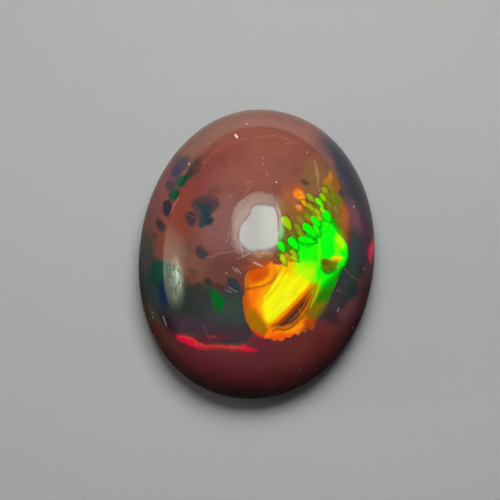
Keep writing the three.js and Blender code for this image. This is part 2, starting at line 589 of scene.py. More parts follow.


# The smoky jelly, from its broadest clouds to its small dark spots, with painted reflection on the far rim
# and painted shade on the near rim
BODY = (
    Mark("rosy far shoulder", "#8f5040", oval((258, 142), (72, 22)), 36),
    # The tan and mauve far rim are body colour lightened by painted reflection of the table behind
    Mark("tan far rim", "#7f4d3c", oval((212, 132), (38, 12), 32), 14, 0.9),
    Mark("mauve far rim", "#884c40", oval((278, 119.6), (46, 10), -7), 12, 0.8),
    Mark("wine far left", "#7c3834", oval((210, 180), (42, 22), 42), 28),
    Mark("rosy brow", "#8a4f42", oval((258, 172), (42, 20), 6), 30),
    Mark("rust left flank", "#863f30", oval((178, 226), (44, 17), 82), 24),
    Mark("rosy left rim", "#82443e", oval((158, 206), (32, 7), 72), 9),
    Mark("brown left rim", "#704a41", oval((149.6, 240), (24, 5), 86), 7),
    Mark("rust left rim", "#7e402e", oval((157.6, 245), (16, 4.4), 84), 5),
    Mark("rose grey middle", "#83554f", oval((222, 226), (36, 22), 90), 30),
    Mark("umber under the light", "#6c3f36", oval((228, 270), (38, 16), -6), 20),
    Mark("tan low left", "#7b4e40", oval((188, 262), (24, 18), 66), 20),
    Mark("golden shoulder", "#885a36", oval((314, 179), (23, 14), 70), 16),
    Mark("russet by the light", "#a0563a", oval((291.4, 202), (15, 7), -66), 9),
    Mark("olive by the light", "#957044", oval((282, 207), (9, 3.4), -76), 6),
    Mark("russet among scales", "#946026", oval((307, 221), (24, 12), -40), 10),
    Mark("copper under the light", "#96583a", oval((264, 257.4), (14, 3.6), -4), 6, 0.85),
    # Pale peach of the stone, lightened by painted highlight at the window's lower edge
    Mark("peach under the light", "#bc8450", oval((261, 255), (5.5, 2), 4), 3, 0.8),
    Mark("gold under the light", "#a4743a", oval((270.5, 256.6), (4, 2.4)), 3, 0.6),
    Mark("rose by the flash", "#9a5b47", oval((255, 262), (7, 2.6), -20), 5),
    Mark("ember glow over the flash", "#b04c14", oval((262, 265), (17, 3), 10), 5, 0.85),
    Mark("olive among the scales", "#7c6a16", curve(
        (283, 236), (292, 222), (304, 211), (318, 203), (330, 193), (337, 204), (331, 214), (322, 222),
        (317, 240), (300, 246), (292, 252), (283, 255), (277, 251)), 8, 0.85),
    Mark("green among the scales", "#36920a", oval((300, 243), (18, 8), 12), 6, 0.95, 0.3),
    Mark("green under the glare", "#38a00c", oval((281.6, 231), (8.6, 2.6), 86), 3.6, 0.85, 0.2),
    Mark("glow round the flame scale", "#b0542c", oval((297.6, 191), (9, 5.4), -55), 6, 0.8, 0.1),
    Mark("flame scale", "#fa881c", oval((299, 194.6), (7, 4.2), -52), 2.6, 1, 0.8),
    Mark("yellow heel of the flame scale", "#fcb010", oval((302, 198), (3.2, 1.8), -50), 2, 0.8, 0.8),
    Mark("second flame scale", "#f0883a", oval((300.4, 208.6), (4.4, 2.5), -48), 2, 1, 0.6),
    Mark("red of the second flame scale", "#d0602c", oval((302.2, 211), (2.4, 1.5), -48), 2, 0.8, 0.4),
    Mark("lime among the scales", "#6c9006", oval((317, 212), (14, 4), 60), 6, 0.7, 0.15),
    Mark("amber root of the flash", "#cc9a06", oval((287, 259), (8, 4), -50), 5, 0.9, 0.5),
    Mark("grey violet far right", "#64383a", oval((331, 147), (18, 11), -50), 14),
    # The slate bay at the lower left, whose upper shore is scalloped
    Mark("slate bay", "#363835", curve(
        (140, 257), (152, 258), (160, 261), (166, 263), (173, 264.5), (179, 269), (184, 276), (189, 283),
        (193, 286), (200, 282), (205, 286), (211, 282), (215, 288), (224, 288), (232, 287), (241, 291),
        (250, 300), (252, 328), (247, 340), (236, 344), (214, 341), (190, 333), (172, 328), (156, 326),
        (146, 312), (139, 285)), 5),
    Mark("smoke along the shore", "#463834", streak(
        (183, 281, 1), (196, 286, 3), (206, 285, 3.5), (218, 287, 4), (232, 288, 4), (243, 292, 2),
    ), 7, 0.6),
    Mark("green grey in the bay", "#3c4641", oval((228, 314), (20, 19), 60), 20),
    Mark("violet foot of the bay", "#4c3543", oval((206, 329), (46, 9), -9), 14),
    Mark("slate left flank", "#384345", oval((151, 284), (36, 9), -86), 12),
    Mark("grey left edge", "#4a4a46", oval((145, 257), (20, 5), 88), 7),
    Mark("blue left of the bay", "#1c2a50", oval((162.2, 291), (17, 3.6), -80), 5),
    Mark("green shore of the bay", "#124632", oval((158.6, 271.6), (13, 7.4), 76), 6),
    Mark("olive low left rim", "#514a38", oval((151, 314), (19, 6), -66), 9),
    # Maroon from the red line down to the near rim
    Mark("maroon foot", "#7a3038", curve(
        (150, 322), (166, 331), (180, 340), (205, 348), (231, 350.5), (245, 347), (251.5, 339), (262, 336),
        (280, 337), (303, 333), (321, 319), (337, 305), (352, 294), (364, 280), (372, 258), (392, 300),
        (360, 380), (300, 420), (220, 420), (160, 385), (138, 345)), 8),
    Mark("ruddy foot", "#803630", oval((306, 347), (38, 15), 32), 24),
    Mark("wine right foot", "#7a464a", oval((348, 310), (22, 8), 62), 13),
    Mark("russet low left", "#683b35", oval((166, 342), (18, 9), -52), 14),
    Mark("ink at the end of the red line", "#2c1a22", oval((169, 325.6), (14, 5.4), -52), 8, 0.65),
    Mark("amber veil", "#8c4038", oval((297, 355), (14, 4), 48), 8, 0.5),
    # Slate along the right rim
    Mark("slate right rim", "#3c373e", curve(
        (326, 128), (328, 143), (335, 157), (340, 170), (342.5, 182), (342, 192), (347, 202), (350, 214),
        (352, 228), (350, 244), (348, 257), (343, 266), (336, 279), (328, 292), (318, 308), (318, 321),
        (330, 317), (342, 308), (349, 301), (358, 295), (361, 284), (368, 264), (384, 240), (380, 190),
        (362, 150), (340, 125)), 6),
    Mark("blue in the rim", "#1e243a", oval((343, 168), (30, 8), -64), 10),
    Mark("green grey in the rim", "#31443f", oval((352, 263), (22, 7), 82), 12),
    Mark("grey foot of the rim", "#443a3e", oval((338, 298), (18, 7), 60), 10),
    Mark("violet foot of the rim", "#3c2c34", oval((328, 315), (13, 5), -38), 7, 0.8),
    Mark("umber past the streak", "#563a26", oval((323.6, 312), (11, 3.4), 56), 5, 0.85),
    Mark("teal in the rim", "#1c4236", oval((352, 290), (8, 5), 76), 5, 0.75),
    Mark("plum right edge", "#55304a", oval((366.6, 236), (24, 4.4), -84), 7),
    Mark("violet smudge", "#7a424c", oval((356, 219), (15, 5), -74), 6),
    Mark("red brown rim", "#603a3c", oval((366.6, 280), (20, 4.5), 74), 6),
    # Painted shade where the stone rolls under: the near rim is darkened
    Mark("dusk at the near rim", "#3a2726", curve(
        (130, 300), (141, 312), (155, 337), (176, 358), (202, 375), (229, 384), (257, 387), (286, 383),
        (313, 371), (338, 346), (359, 313), (375, 276), (395, 300), (380, 370), (320, 430), (200, 430),
        (140, 390), (120, 340)), 24),
    # Dark spots and dull flecks of colour
    Mark("blue haze", "#282d50", oval((177.4, 168.6), (11, 6), 54), 5, 0.95),
    Mark("violet haze", "#3a2c40", oval((183.4, 163.6), (8.6, 4.6), 52), 5, 0.85),
    Mark("smoke by the haze", "#523633", oval((193.4, 168), (12, 5.6), 66), 5, 0.9),
    Mark("purple by the haze", "#6c3048", oval((170.6, 178), (4, 3.4)), 4, 0.6),
    Mark("smoke between the flecks", "#3e3a36", oval((175.6, 186), (9, 4.4), 64), 5, 0.85),
    Mark("smoke at the far left rim", "#4c3a3c", oval((174.6, 156), (10, 5), -50), 8, 0.7),
    Mark("tail of the upper green fleck", "#2a3526", oval((189, 176), (6, 3.6), 54), 3.6, 0.8),
    Mark("upper green fleck", "#034128", curve(
        (175.4, 181.4), (176.8, 177.6), (180, 176), (184, 175), (187, 176), (187.8, 180), (186.2, 184.6),
        (183.4, 187.6), (179.6, 188), (176.6, 185.4)), 2.4, 1, 0.04),
    Mark("lower green fleck", "#05412a", curve(
        (168.6, 194.6), (171, 190.8), (175.6, 189.6), (179.6, 192), (179, 196.6), (176, 200.2),
        (172.5, 200.6), (169.6, 198)), 2.2, 1, 0.04),
    Mark("dark fleck beside them", "#40303a", curve(
        (166, 186), (168, 181.6), (172.6, 180.8), (174.8, 184), (173.6, 188.6), (169.6, 190.6),
        (166.6, 189.6)), 3, 0.9),
    Mark("dark hexagon", "#241a2a", curve(
        (162, 207), (164.4, 201.8), (168.2, 199), (172, 202), (172.6, 208), (171, 213), (168, 215),
        (164.4, 212.6)), 2.2),
    Mark("dark fleck on the rim", "#38262f", oval((160.5, 224), (7, 4.5), -62), 4),
    Mark("low dark fleck on the rim", "#523032", oval((154.5, 236.5), (4, 2.6), -80), 3, 0.75),
    Mark("smoke on the left rim", "#46403c", oval((149, 252), (14, 3), 86), 5, 0.8),
    Mark("smoke lobe", "#4a3738", curve(
        (191, 204), (195, 198.4), (202, 196), (210, 195.6), (217.4, 198.6), (219, 206), (215.5, 212),
        (208, 214), (200, 212.6), (194, 209.6)), 5, 0.95),
    Mark("slate in the smoke lobe", "#333438", oval((205, 208), (8.5, 5), -12), 5, 0.9),
    Mark("smoke over the lobe", "#683c39", oval((214, 193), (8, 5), 50), 6, 0.6),
    Mark("teal lobe", "#303a40", curve(
        (197.4, 208.4), (205, 204), (213.6, 207.4), (213, 213), (212, 216.6), (214, 220), (212.4, 223.6),
        (207.4, 226.4), (202.6, 228.8), (198.4, 226), (199.6, 221), (198.6, 214.4)), 2.8),
    Mark("ink in the teal lobe", "#1c2230", oval((209.6, 220.4), (5, 3), -70), 3, 0.5),
    Mark("smoke between the lobes", "#583a3a", oval((197, 217), (4, 8)), 5, 0.7),
    Mark("plum lobe", "#42323a", curve(
        (185.6, 213), (190, 210.8), (194.6, 213.4), (196, 219.6), (194.4, 225.6), (190.6, 227), (187, 222),
    ), 3),
    Mark("teal spot", "#46393b", curve(
        (196.6, 249), (200, 246.4), (205, 249), (208, 253.6), (206, 257.8), (200.4, 257.8), (197.4, 254.6),
    ), 3, 0.95),
    Mark("teal in it", "#2c383b", oval((203.6, 254.4), (2.8, 2)), 3, 0.8),
    Mark("faint smoke left of it", "#66443c", oval((190, 247), (6, 3.4), -60), 5, 0.7),
    Mark("golden spot", "#503a30", oval((304.8, 182.2), (4.8, 2.8), -34), 3),
    Mark("scratched dark spot", "#2f3136", oval((234, 284.3), (8.2, 5.4), -48), 3),
    Mark("moss in the shore", "#333228", oval((208.6, 282), (5, 3.4), -25), 2.6),
    Mark("umber in the shore", "#42342b", oval((199, 286.5), (4.4, 2.8), -10), 2.6, 0.8),
    Mark("wine in the shore", "#4e2a26", oval((220, 286), (4, 2.6), -30), 3, 0.7),
    Mark("smoke above the shore", "#5f4034", oval((193, 272), (6, 3.6), -30), 4, 0.6),
    Mark("smoke above the shore 2", "#5c4030", oval((186, 279), (5, 3.5)), 4, 0.6),
    Mark("green spot's head", "#22492f", oval((212, 292), (5.5, 3), -48), 4, 0.9),
    Mark("green spot", "#006a22", curve(
        (211.4, 294), (215.6, 291.4), (219.6, 294.6), (223.6, 299.4), (224, 305.6), (222, 311.4),
        (218.6, 312.6), (214.8, 307.6), (212.6, 301)), 2.6, 1, 0.1),
    # The red line, with its orange flecks
    Mark("glow over the red line", "#6e2236", oval((207, 338.6), (24, 4), 9), 6, 0.7),
    Mark("red line", "#f01242", streak(
        (175.5, 336, 0.4), (182, 338, 3.2), (188.5, 341.4, 4.4), (196, 343.8, 3.4), (206, 346, 2.6),
        (217, 347, 2.2), (229, 347.8, 2.3), (241, 348.6, 2.4), (251, 349.6, 2.1), (258, 350, 0.8),
    ), 2.4, 1, 0.6),
    Mark("ember in the red line", "#d44c38", streak(
        (194, 343, 0.3), (201, 344.2, 0.8), (209, 346.4, 0.9), (217, 346.4, 1.5), (226, 347.8, 1.1),
        (234, 347.6, 1.5), (243, 349, 0.4)), 1.6, 0.9, 0.5),
    Mark("ember thread", "#f0583c", streak(
        (179, 336, 0.3), (187, 337.4, 0.7), (195, 341, 0.7), (204, 343.6, 0.3)), 1.4, 0.7, 0.6),
    Mark("gap in the red line", "#6c1c34", streak(
        (198, 346, 0.3), (216, 348, 0.6), (232, 349.2, 0.6), (244, 349.8, 0.3)), 1.2, 0.8),
    Mark("ember fleck", "#a84438", streak(
        (208.5, 336, 0.5), (212.6, 336.4, 1.2), (217, 338, 0.4)), 1.6, 0.9, 0.1),
    Mark("red glint on the right rim", "#f4204c", streak(
        (371.6, 236, 0.8), (372.2, 248, 2.5), (370.8, 262, 1)), 3, 0.95, 0.6),
    # The orange wing and the smoke behind the green peak
    Mark("red brown point", "#9c5c26", curve(
        (325.4, 190), (327.6, 181), (331.4, 172), (334.6, 172.6), (337.8, 179.6), (340.6, 186.6),
        (338.4, 190.4), (332.4, 192)), 3),
    Mark("yellow flare in the point", "#cc8a22", oval((330.4, 177), (5.4, 2.2), 82), 3, 0.95, 0.1),
    Mark("amber by the point", "#c4741a", oval((326, 181.8), (4.4, 2.8), 40), 3, 0.95, 0.1),
    Mark("olive under the point", "#8c8412", oval((329, 186.6), (5, 2.6), -50), 3, 0.8),
    Mark("smoke past the point", "#48322e", streak(
        (339.6, 178, 0.6), (341, 184, 1.6), (341.4, 192, 2.6)), 2.6, 0.9),
    Mark("orange wing", "#a2602c", curve(
        (327, 196), (333, 190.8), (339, 196), (343.5, 204), (346.5, 214), (348.6, 227), (348.4, 241),
        (343, 240), (336, 230), (331, 216), (327, 208)), 3.4),
    Mark("olive in the wing", "#70760e", curve(
        (328.5, 198), (331, 193.4), (335.5, 191.3), (339.4, 194.6), (343, 201), (341, 207), (334, 206),
        (329.5, 203)), 2.6),
    Mark("moss in the wing", "#7c8a08", oval((332.6, 196), (4, 2.6), 50), 3, 0.7),
    Mark("gold in the wing", "#94782a", oval((337, 212), (9, 3), -66), 3.6, 0.8),
    Mark("flame in the wing", "#b85c2c", streak(
        (340, 205, 1.4), (343.4, 212, 2.6), (345.2, 220, 2.6), (346.2, 230, 1.6)), 4, 0.9, 0.08),
    Mark("dusk at the wing's end", "#5c3e2a", oval((349, 238), (6, 2), -80), 3, 0.8),
    Mark("moss beside the peak", "#667c04", streak(
        (334, 216, 1), (338.4, 225, 2.2), (343, 234, 1.6)), 4, 0.9, 0.1),
    Mark("green beside the peak", "#129400", streak(
        (329.6, 211, 0.8), (332.6, 221, 2), (337, 230, 1.8)), 3, 0.9, 0.1),
    Mark("lime beside the peak", "#8aaa00", oval((340.6, 232), (4.6, 2), -60), 3, 0.8, 0.3),
    Mark("pale vein", "#b08460", streak(
        (314.6, 160, 0.4), (315.6, 167, 1.3), (317, 177, 1.1), (318.4, 187, 0.9), (321, 195.6, 0.3),
    ), 2, 0.6),
)

# The great flash: its ground, its outline, and the colours in it
FLASH_GROUND = "#f67802"
FLASH_OUTLINE = curve(
    (246, 273.5), (251, 270.2), (258, 268.8), (263.5, 267.4), (267.5, 264.6), (270.5, 261.5), (275, 264.5),
    (280, 264.6), (285, 261), (290, 257.4), (295, 258), (298, 253), (297, 246), (298.6, 240.6), (304, 238),
    (310, 238), (314.4, 235), (313.6, 229), (314, 222.6), (318.4, 218), (323, 213.5), (327, 210),
    (331, 214), (334.5, 222.5), (338.5, 231.5), (342.4, 237), (346.4, 243.5), (349, 250), (349, 259),
    (347.2, 265.6), (342.6, 271), (337.8, 280), (332.8, 291.6), (328, 304), (322.4, 314), (317, 320.4),
    (314.6, 326), (312, 329.6), (308.4, 328.4), (305.4, 332), (301.6, 331), (298, 334.8), (294.4, 333.8),
    (290, 337.8), (286.4, 337.2), (281.6, 340.8), (277.6, 339.6), (273.6, 340.8), (269.6, 338.6),
    (264, 338.2), (258.6, 336), (253.8, 332.3), (249, 326), (245.4, 318), (243.4, 308), (242.8, 298),
    (245, 290), (244.4, 281),
)
FLASH = (
    Mark("ember left edge", "#c05402", curve(
        (236, 264), (248, 266), (246, 280), (248, 296), (251, 312), (258, 324), (271, 334), (262, 345),
        (240, 335), (232, 300)), 9, 1, 0.8),
    Mark("amber", "#ffa202", curve(
        (258, 296), (264, 284), (271, 270), (280, 261), (294, 262), (290, 280), (272, 328), (262, 321),
        (257, 306)), 8, 1, 1),
    Mark("yellow core", "#f6ee02", curve(
        (266.5, 322), (262.5, 309), (265, 299), (272, 288.6), (279, 279), (287, 271.6), (298, 267),
        (309, 268), (314, 274), (312, 282.6), (303, 295), (292.4, 305.5), (282.6, 314.4), (274.5, 321.5),
    ), 6.5, 1, 1),
    Mark("pale heart of the core", "#f8f41a", oval((281, 302), (17, 6), 50), 10, 0.8, 1),
    Mark("amber head of the core", "#fcb602", oval((288.4, 267.4), (8, 5.2), -50), 6, 0.9, 1),
    Mark("lime bend", "#7efa00", curve(
        (294, 263), (298, 258), (308, 256), (322, 255), (323, 272), (318, 281), (312.6, 286), (308, 279),
        (300, 271)), 7, 1, 1),
    Mark("yellow side of the bend", "#b8f800", oval((305, 272), (13, 5), -20), 8, 0.9, 1),
    Mark("emerald body", "#00fc00", curve(
        (292, 236), (318, 203), (340, 200), (356, 240), (352, 262), (348, 270), (338, 276), (330, 286),
        (318.4, 290), (316, 282), (316.2, 272), (316.6, 264), (311, 261.4), (302, 261), (296, 258),
    ), 5, 1, 1),
    Mark("deep green streak", "#049a00", curve(
        (322.4, 286), (331, 278), (341, 267), (344, 272), (333, 294), (322, 298), (319, 293)), 8, 1, 0.7),
    Mark("moss streak", "#287e00", curve(
        (317, 294), (324, 290), (336, 288), (330, 304), (318, 312), (311, 306)), 9, 1, 0.55),
    Mark("olive foot of the streak", "#8a7000", curve(
        (311, 303), (319, 303), (328, 303), (320, 318), (310, 324), (304, 318)), 8, 1, 0.5),
    Mark("slate past the streak", "#414838", curve(
        (347, 271), (340, 281), (331.8, 293), (326, 304), (320, 313), (315, 320), (324, 324), (340, 304),
        (354, 276)), 8, 0.9, 0),
    Mark("bright streak", "#f4ec10", streak(
        (264, 298, 0.6), (271.5, 288, 1.6), (279, 277.5, 1.8), (284.5, 268, 0.8)), 3.5, 0.8, 1),
    Mark("crease by the streak", "#cc8602", streak(
        (262.5, 297, 0.3), (269.5, 287.5, 0.7), (275.5, 278, 0.7), (279, 269, 0.3)), 2.2, 0.7, 0.7),
    Mark("crease by the streak 2", "#dca802", streak(
        (267, 299, 0.3), (275, 289, 0.5), (283, 277, 0.6), (287.5, 268, 0.3)), 2, 0.6, 0.8),
    Mark("ember lobe", "#dc6202", curve(
        (243, 272), (256, 268), (268, 267), (274, 273), (271, 281), (260, 286), (246, 288.5)), 4, 1, 0.8),
    Mark("red heart of the lobe", "#cc4a02", oval((256.5, 274.6), (11, 5.5), -6), 8, 1, 0.8),
    Mark("red brow of the lobe", "#b8400e", streak(
        (246, 269.6, 0.8), (255, 267.6, 1.4), (264, 266, 1.2), (268, 263, 0.5)), 3.5, 0.8, 0.4),
    Mark("amber cheek of the lobe", "#ff9e06", streak(
        (271, 269, 0.8), (270.5, 277, 2.4), (263.5, 283, 2.2), (251, 286, 1.2)), 5, 0.85, 1),
    Mark("golden edge of the lobe", "#b86806", oval((246.8, 280), (8, 2.6), 84), 3, 0.8, 0.8),
    Mark("crease under the lobe", "#9c3e02", streak(
        (243, 290, 1.1), (252, 288.2, 0.8), (263, 286, 0.8), (272, 281.4, 0.8), (276, 274.5, 0.6),
        (274, 267, 0.3)), 2.4, 0.85, 0.4),
    Mark("umber toe", "#b86e00", curve(
        (245, 312), (254, 309), (261, 318), (267, 326), (268, 334), (258, 335), (248, 326)), 9, 1, 0.6),
    Mark("olive in the toe", "#a87600", oval((258, 324), (9, 4), -56), 7, 0.8, 0.5),
    Mark("red lip", "#f0201e", streak(
        (250.4, 329.6, 0.5), (256.6, 334.2, 2.1), (264, 338.2, 1.5)), 2.4, 1, 0.8),
    Mark("fringe of the core", "#fa8c02", streak(
        (268, 325.4, 0.8), (275, 321.8, 1.4), (283, 314.8, 1.6), (292, 305.8, 1.7), (301, 296.2, 1.7),
        (309, 287.8, 1.5), (312.5, 282.6, 0.6)), 3, 1, 0.9),
    Mark("red under the fringe", "#ac3e00", streak(
        (271, 326.4, 0.8), (277.5, 323.8, 1.5), (285.5, 317.2, 1.8), (294.6, 308, 1.8),
        (303.6, 298.6, 1.6), (310, 290.6, 0.9)), 2.6, 1, 0.6),
    # The hollow under the core, and the strands past it
    Mark("umber strands", "#bc6200", curve(
        (312.6, 289), (317.5, 285), (318.6, 290), (314.5, 300), (308.5, 312), (303, 319), (294, 324.5),
        (289, 325), (298, 312), (305, 299)), 3.5, 1, 0.5),
    Mark("olive head of the strands", "#a89a00", oval((314, 289.6), (6, 3.6), 66), 4, 1, 0.6),
    Mark("maroon hollow", "#68301a", curve(
        (307.4, 297.4), (306.8, 303.6), (302.6, 310.8), (297.2, 317.6), (291.2, 322.6), (284.2, 326.2),
        (277, 327.6), (278, 325.2), (285.2, 319), (294.2, 310.2), (302.4, 301.4)), 2.6, 1, 0),
    Mark("slate in the hollow", "#4e342e", oval((294.4, 316.2), (8, 2.6), 50), 3, 0.8, 0),
    Mark("strand", "#d88004", streak(
        (313.5, 291, 0.3), (308.6, 303, 0.6), (302, 314, 0.6), (294, 322.6, 0.3)), 1.6, 0.8, 0.7),
    Mark("strand 2", "#c87004", streak(
        (309, 294, 0.3), (304.6, 304, 0.5), (298, 313.4, 0.5), (289.6, 321.6, 0.3)), 1.6, 0.7, 0.6),
    Mark("gap between strands", "#4c2206", streak(
        (311.4, 293, 0.3), (306.6, 303.6, 0.5), (300, 314, 0.5), (292, 322.4, 0.3)), 1.4, 0.7, 0.1),
    Mark("gap between strands 2", "#5c4004", streak(
        (316, 291, 0.3), (311, 303.6, 0.5), (305.6, 314, 0.6), (299, 321, 0.3)), 1.6, 0.7, 0.1),
    Mark("crossing strand", "#d88004", streak(
        (299, 309.6, 0.3), (303, 315, 0.6), (308, 318.6, 0.3)), 1.4, 0.8, 0.7),
    Mark("lime edge of the streak", "#9ce008", streak(
        (320, 280.5, 0.7), (317.4, 291, 1.2), (313.4, 300.6, 0.9), (310, 307.6, 0.3)), 2.4, 0.85, 0.85),
    Mark("lower arc", "#ff7c02", curve(
        (264.6, 337), (267.6, 331.4), (273, 329.6), (280, 330.8), (288, 329), (296, 324.6), (302, 319.4),
        (308, 318), (314, 321.4), (315, 331), (304, 331), (296, 336), (284, 343), (270, 342)), 2.2, 1, 1),
    Mark("bright back of the arc", "#ffa604", streak(
        (284, 332.6, 0.6), (291, 330.4, 1.6), (297, 327.4, 1.6), (302.4, 323.6, 0.6)), 3, 0.9, 1),
    Mark("red foot of the arc", "#fa5400", oval((279, 337), (12, 3), 8), 4, 0.9, 1),
    Mark("ember end of the arc", "#b04402", oval((310.4, 323.6), (6.6, 6), 20), 5, 0.9, 0.5),
    Mark("ember under the arc's end", "#9c4406", oval((305.6, 329.6), (5, 2.6), 20), 3.5, 0.8, 0.5),
    Mark("thread over the arc", "#d46c04", streak(
        (271, 329, 0.4), (277, 326.6, 0.7), (283, 327.8, 0.7), (290, 325.6, 0.4)), 1.5, 0.9, 0.6),
    Mark("dark thread over the arc", "#52200a", streak(
        (272.5, 331, 0.4), (278, 328.8, 0.7), (284, 330, 0.7), (291, 327.6, 0.7), (298, 322, 0.4),
    ), 1.6, 0.85, 0.1),
    # The green body's seams, its yellow window and the half-moon
    Mark("seam", "#6cfa00", streak(
        (318.8, 240, 0.6), (319.4, 250, 1.2), (319.2, 258, 1.2), (318, 266, 0.5)), 2.4, 0.8, 1),
    Mark("dark seam", "#00a800", streak(
        (318, 241, 0.3), (311, 246.4, 0.6), (302, 245.4, 0.4)), 1.5, 0.8, 0.6),
    Mark("dark seam 2", "#00b400", streak(
        (319, 240, 0.4), (322, 231, 0.5), (319.6, 222.6, 0.5), (326, 220, 0.3)), 1.5, 0.5, 0.7),
    Mark("shade beside the peak", "#048200", streak(
        (330.5, 213, 0.6), (334.4, 223, 2), (339.5, 232, 1), (343, 238, 0.4)), 4, 0.9, 0.5),
    Mark("yellow window", "#70fc00", curve(
        (334, 238), (336.8, 235.4), (341.2, 237.6), (342.6, 243), (340.4, 250), (339.4, 256.6),
        (334, 258.6), (334.8, 249.6), (334, 242)), 3, 1, 1),
    Mark("lemon in the window", "#c4fa00", oval((340.2, 241.4), (7, 2.8), -62), 3.4, 0.95, 1),
    Mark("amber sill", "#f6e202", oval((336.8, 258.4), (5.4, 2.3), 6), 2.6, 1, 1),
    Mark("ember under the sill", "#c8900a", oval((332.6, 261), (7, 1.6), 4), 2.2, 0.9, 0.6),
    Mark("half moon", "#6c7c02", curve(
        (321.4, 260), (326, 258.8), (332, 261.6), (338, 262.4), (337, 266.2), (332.4, 270.2), (326.3, 272),
        (322.1, 269)), 2.4, 1, 0.4),
    Mark("shade in the half moon", "#66500a", oval((325.4, 262.4), (4.4, 3.2), -20), 3.5, 0.8, 0.2),
    Mark("shadow under the half moon", "#066a04", streak(
        (321.1, 267.6, 0.5), (326, 273, 1), (332.6, 271.6, 1), (338, 267, 0.5)), 1.8, 0.95, 0.3),
    Mark("foot of the half moon", "#3c5c0a", oval((330, 269.6), (5, 1.6), 8), 2.4, 0.7, 0.2),
    Mark("glint at the half moon", "#80e060", streak(
        (337.6, 266.6, 0.6), (338, 267.8, 0.6)), 1.4, 0.8, 0.7),
    Mark("dark right edge", "#06501c", streak(
        (348, 243, 0.6), (349.6, 250, 2), (349.6, 258, 2.3), (347.4, 265, 2.6), (343, 271, 2),
        (338.8, 279, 1)), 2.4, 0.95, 0.1),
)


class Scale(NamedTuple):
    """A snakeskin scale beside the flash."""

    colour: str
    root: tuple
    tip: tuple
    half_width: float
    glow: float = 0.0
    cover: float = 1.0


# From the flash outwards: emerald, lime, moss, amber and at last dull olive scales
SCALES = (
    Scale("#00fc00", (303, 223.4), (317.4, 238.2), 4.2, 1),
    Scale("#04f400", (310.8, 216.2), (321.4, 227.4), 4.2, 1),
    Scale("#30f000", (313.8, 224), (320.2, 236.6), 3.0, 0.9),
    Scale("#00f800", (297.8, 238.2), (317.4, 242.4), 4.1, 1),
    Scale("#00c400", (304.6, 234.6), (317.2, 240), 2.3, 0.9),
    Scale("#00f800", (288.8, 237.4), (299, 250.4), 4.4, 1),
    Scale("#14e800", (279, 241), (284.8, 253.6), 4, 1),
    Scale("#00fa00", (323.6, 210.4), (331, 223), 4.3, 1),
    Scale("#64e402", (315.4, 198), (324.4, 208.4), 3.2, 0.8),
    Scale("#8cc400", (319.8, 193.2), (327, 202.6), 3.0, 0.5),
    Scale("#949c10", (321.8, 186.8), (329, 194.8), 3.2, 0.3),
    Scale("#8e7c12", (325.6, 191.6), (330.2, 200.6), 2.2, 0.1, 0.8),
    Scale("#7e7c14", (326.6, 199.6), (333, 211.6), 3.0, 0.1, 0.9),
    Scale("#90e404", (320.4, 206.6), (326, 215.6), 2.5, 0.8),
    Scale("#a4d00a", (316.4, 215.4), (323.4, 221.4), 2.0, 0.7),
    Scale("#929c12", (306.8, 193.4), (315, 202.6), 3.2, 0.3),
    Scale("#98a00e", (307.4, 203.6), (315.6, 212.6), 3.1, 0.3),
    Scale("#a0b40a", (314.2, 208.8), (321.8, 217.2), 2.9, 0.35),
    Scale("#86800e", (304.4, 213), (314.2, 224), 3.9, 0.1),
    Scale("#8c7228", (296.4, 215.4), (305.6, 226), 3.8, 0.05),
    Scale("#8a8a10", (311.4, 212), (318.6, 219.6), 2.6, 0.15, 0.85),
    Scale("#98be00", (282.6, 216), (291.8, 231.4), 4.4, 0.7),
    Scale("#888418", (294.4, 223.4), (303, 233.4), 3.2, 0.15),
    Scale("#70a006", (296.4, 231), (306.6, 237.6), 2.8, 0.45),
    Scale("#7c6c1c", (287.6, 229), (296, 238.6), 3.0, 0.05, 0.7),
    Scale("#dc9e0a", (300.8, 199.6), (308.8, 207.8), 2.6, 0.6),
    Scale("#96682a", (304, 208.6), (309.4, 215.6), 2.2, 0.05, 0.7),
    Scale("#6c7414", (327.6, 208.4), (334.4, 219), 2.6, 0.1, 0.8),
    Scale("#8c7434", (333.4, 204.6), (340, 217), 3.0, 0.05, 0.85),
    Scale("#b8cc00", (280.2, 253.8), (286.8, 266.4), 3.3, 0.8),
    Scale("#c88a0a", (285, 252.6), (291.6, 261.6), 2.6, 0.5, 0.8),
    Scale("#96c004", (289.6, 249.6), (298.8, 257.6), 2.7, 0.6),
    Scale("#a8d800", (290.4, 255.4), (299.4, 261.8), 2.3, 0.8),
    Scale("#5a840a", (277.2, 252.4), (283.2, 260.4), 2.6, 0.3, 0.8),
)


class Stroke(NamedTuple):
    """Scratches, cracks or specks too thin for the mesh to carry: round-ended lines on the picture."""

    colour: str
    half_width: float
    cover: float
    lines: tuple  # each is the places that one line runs through


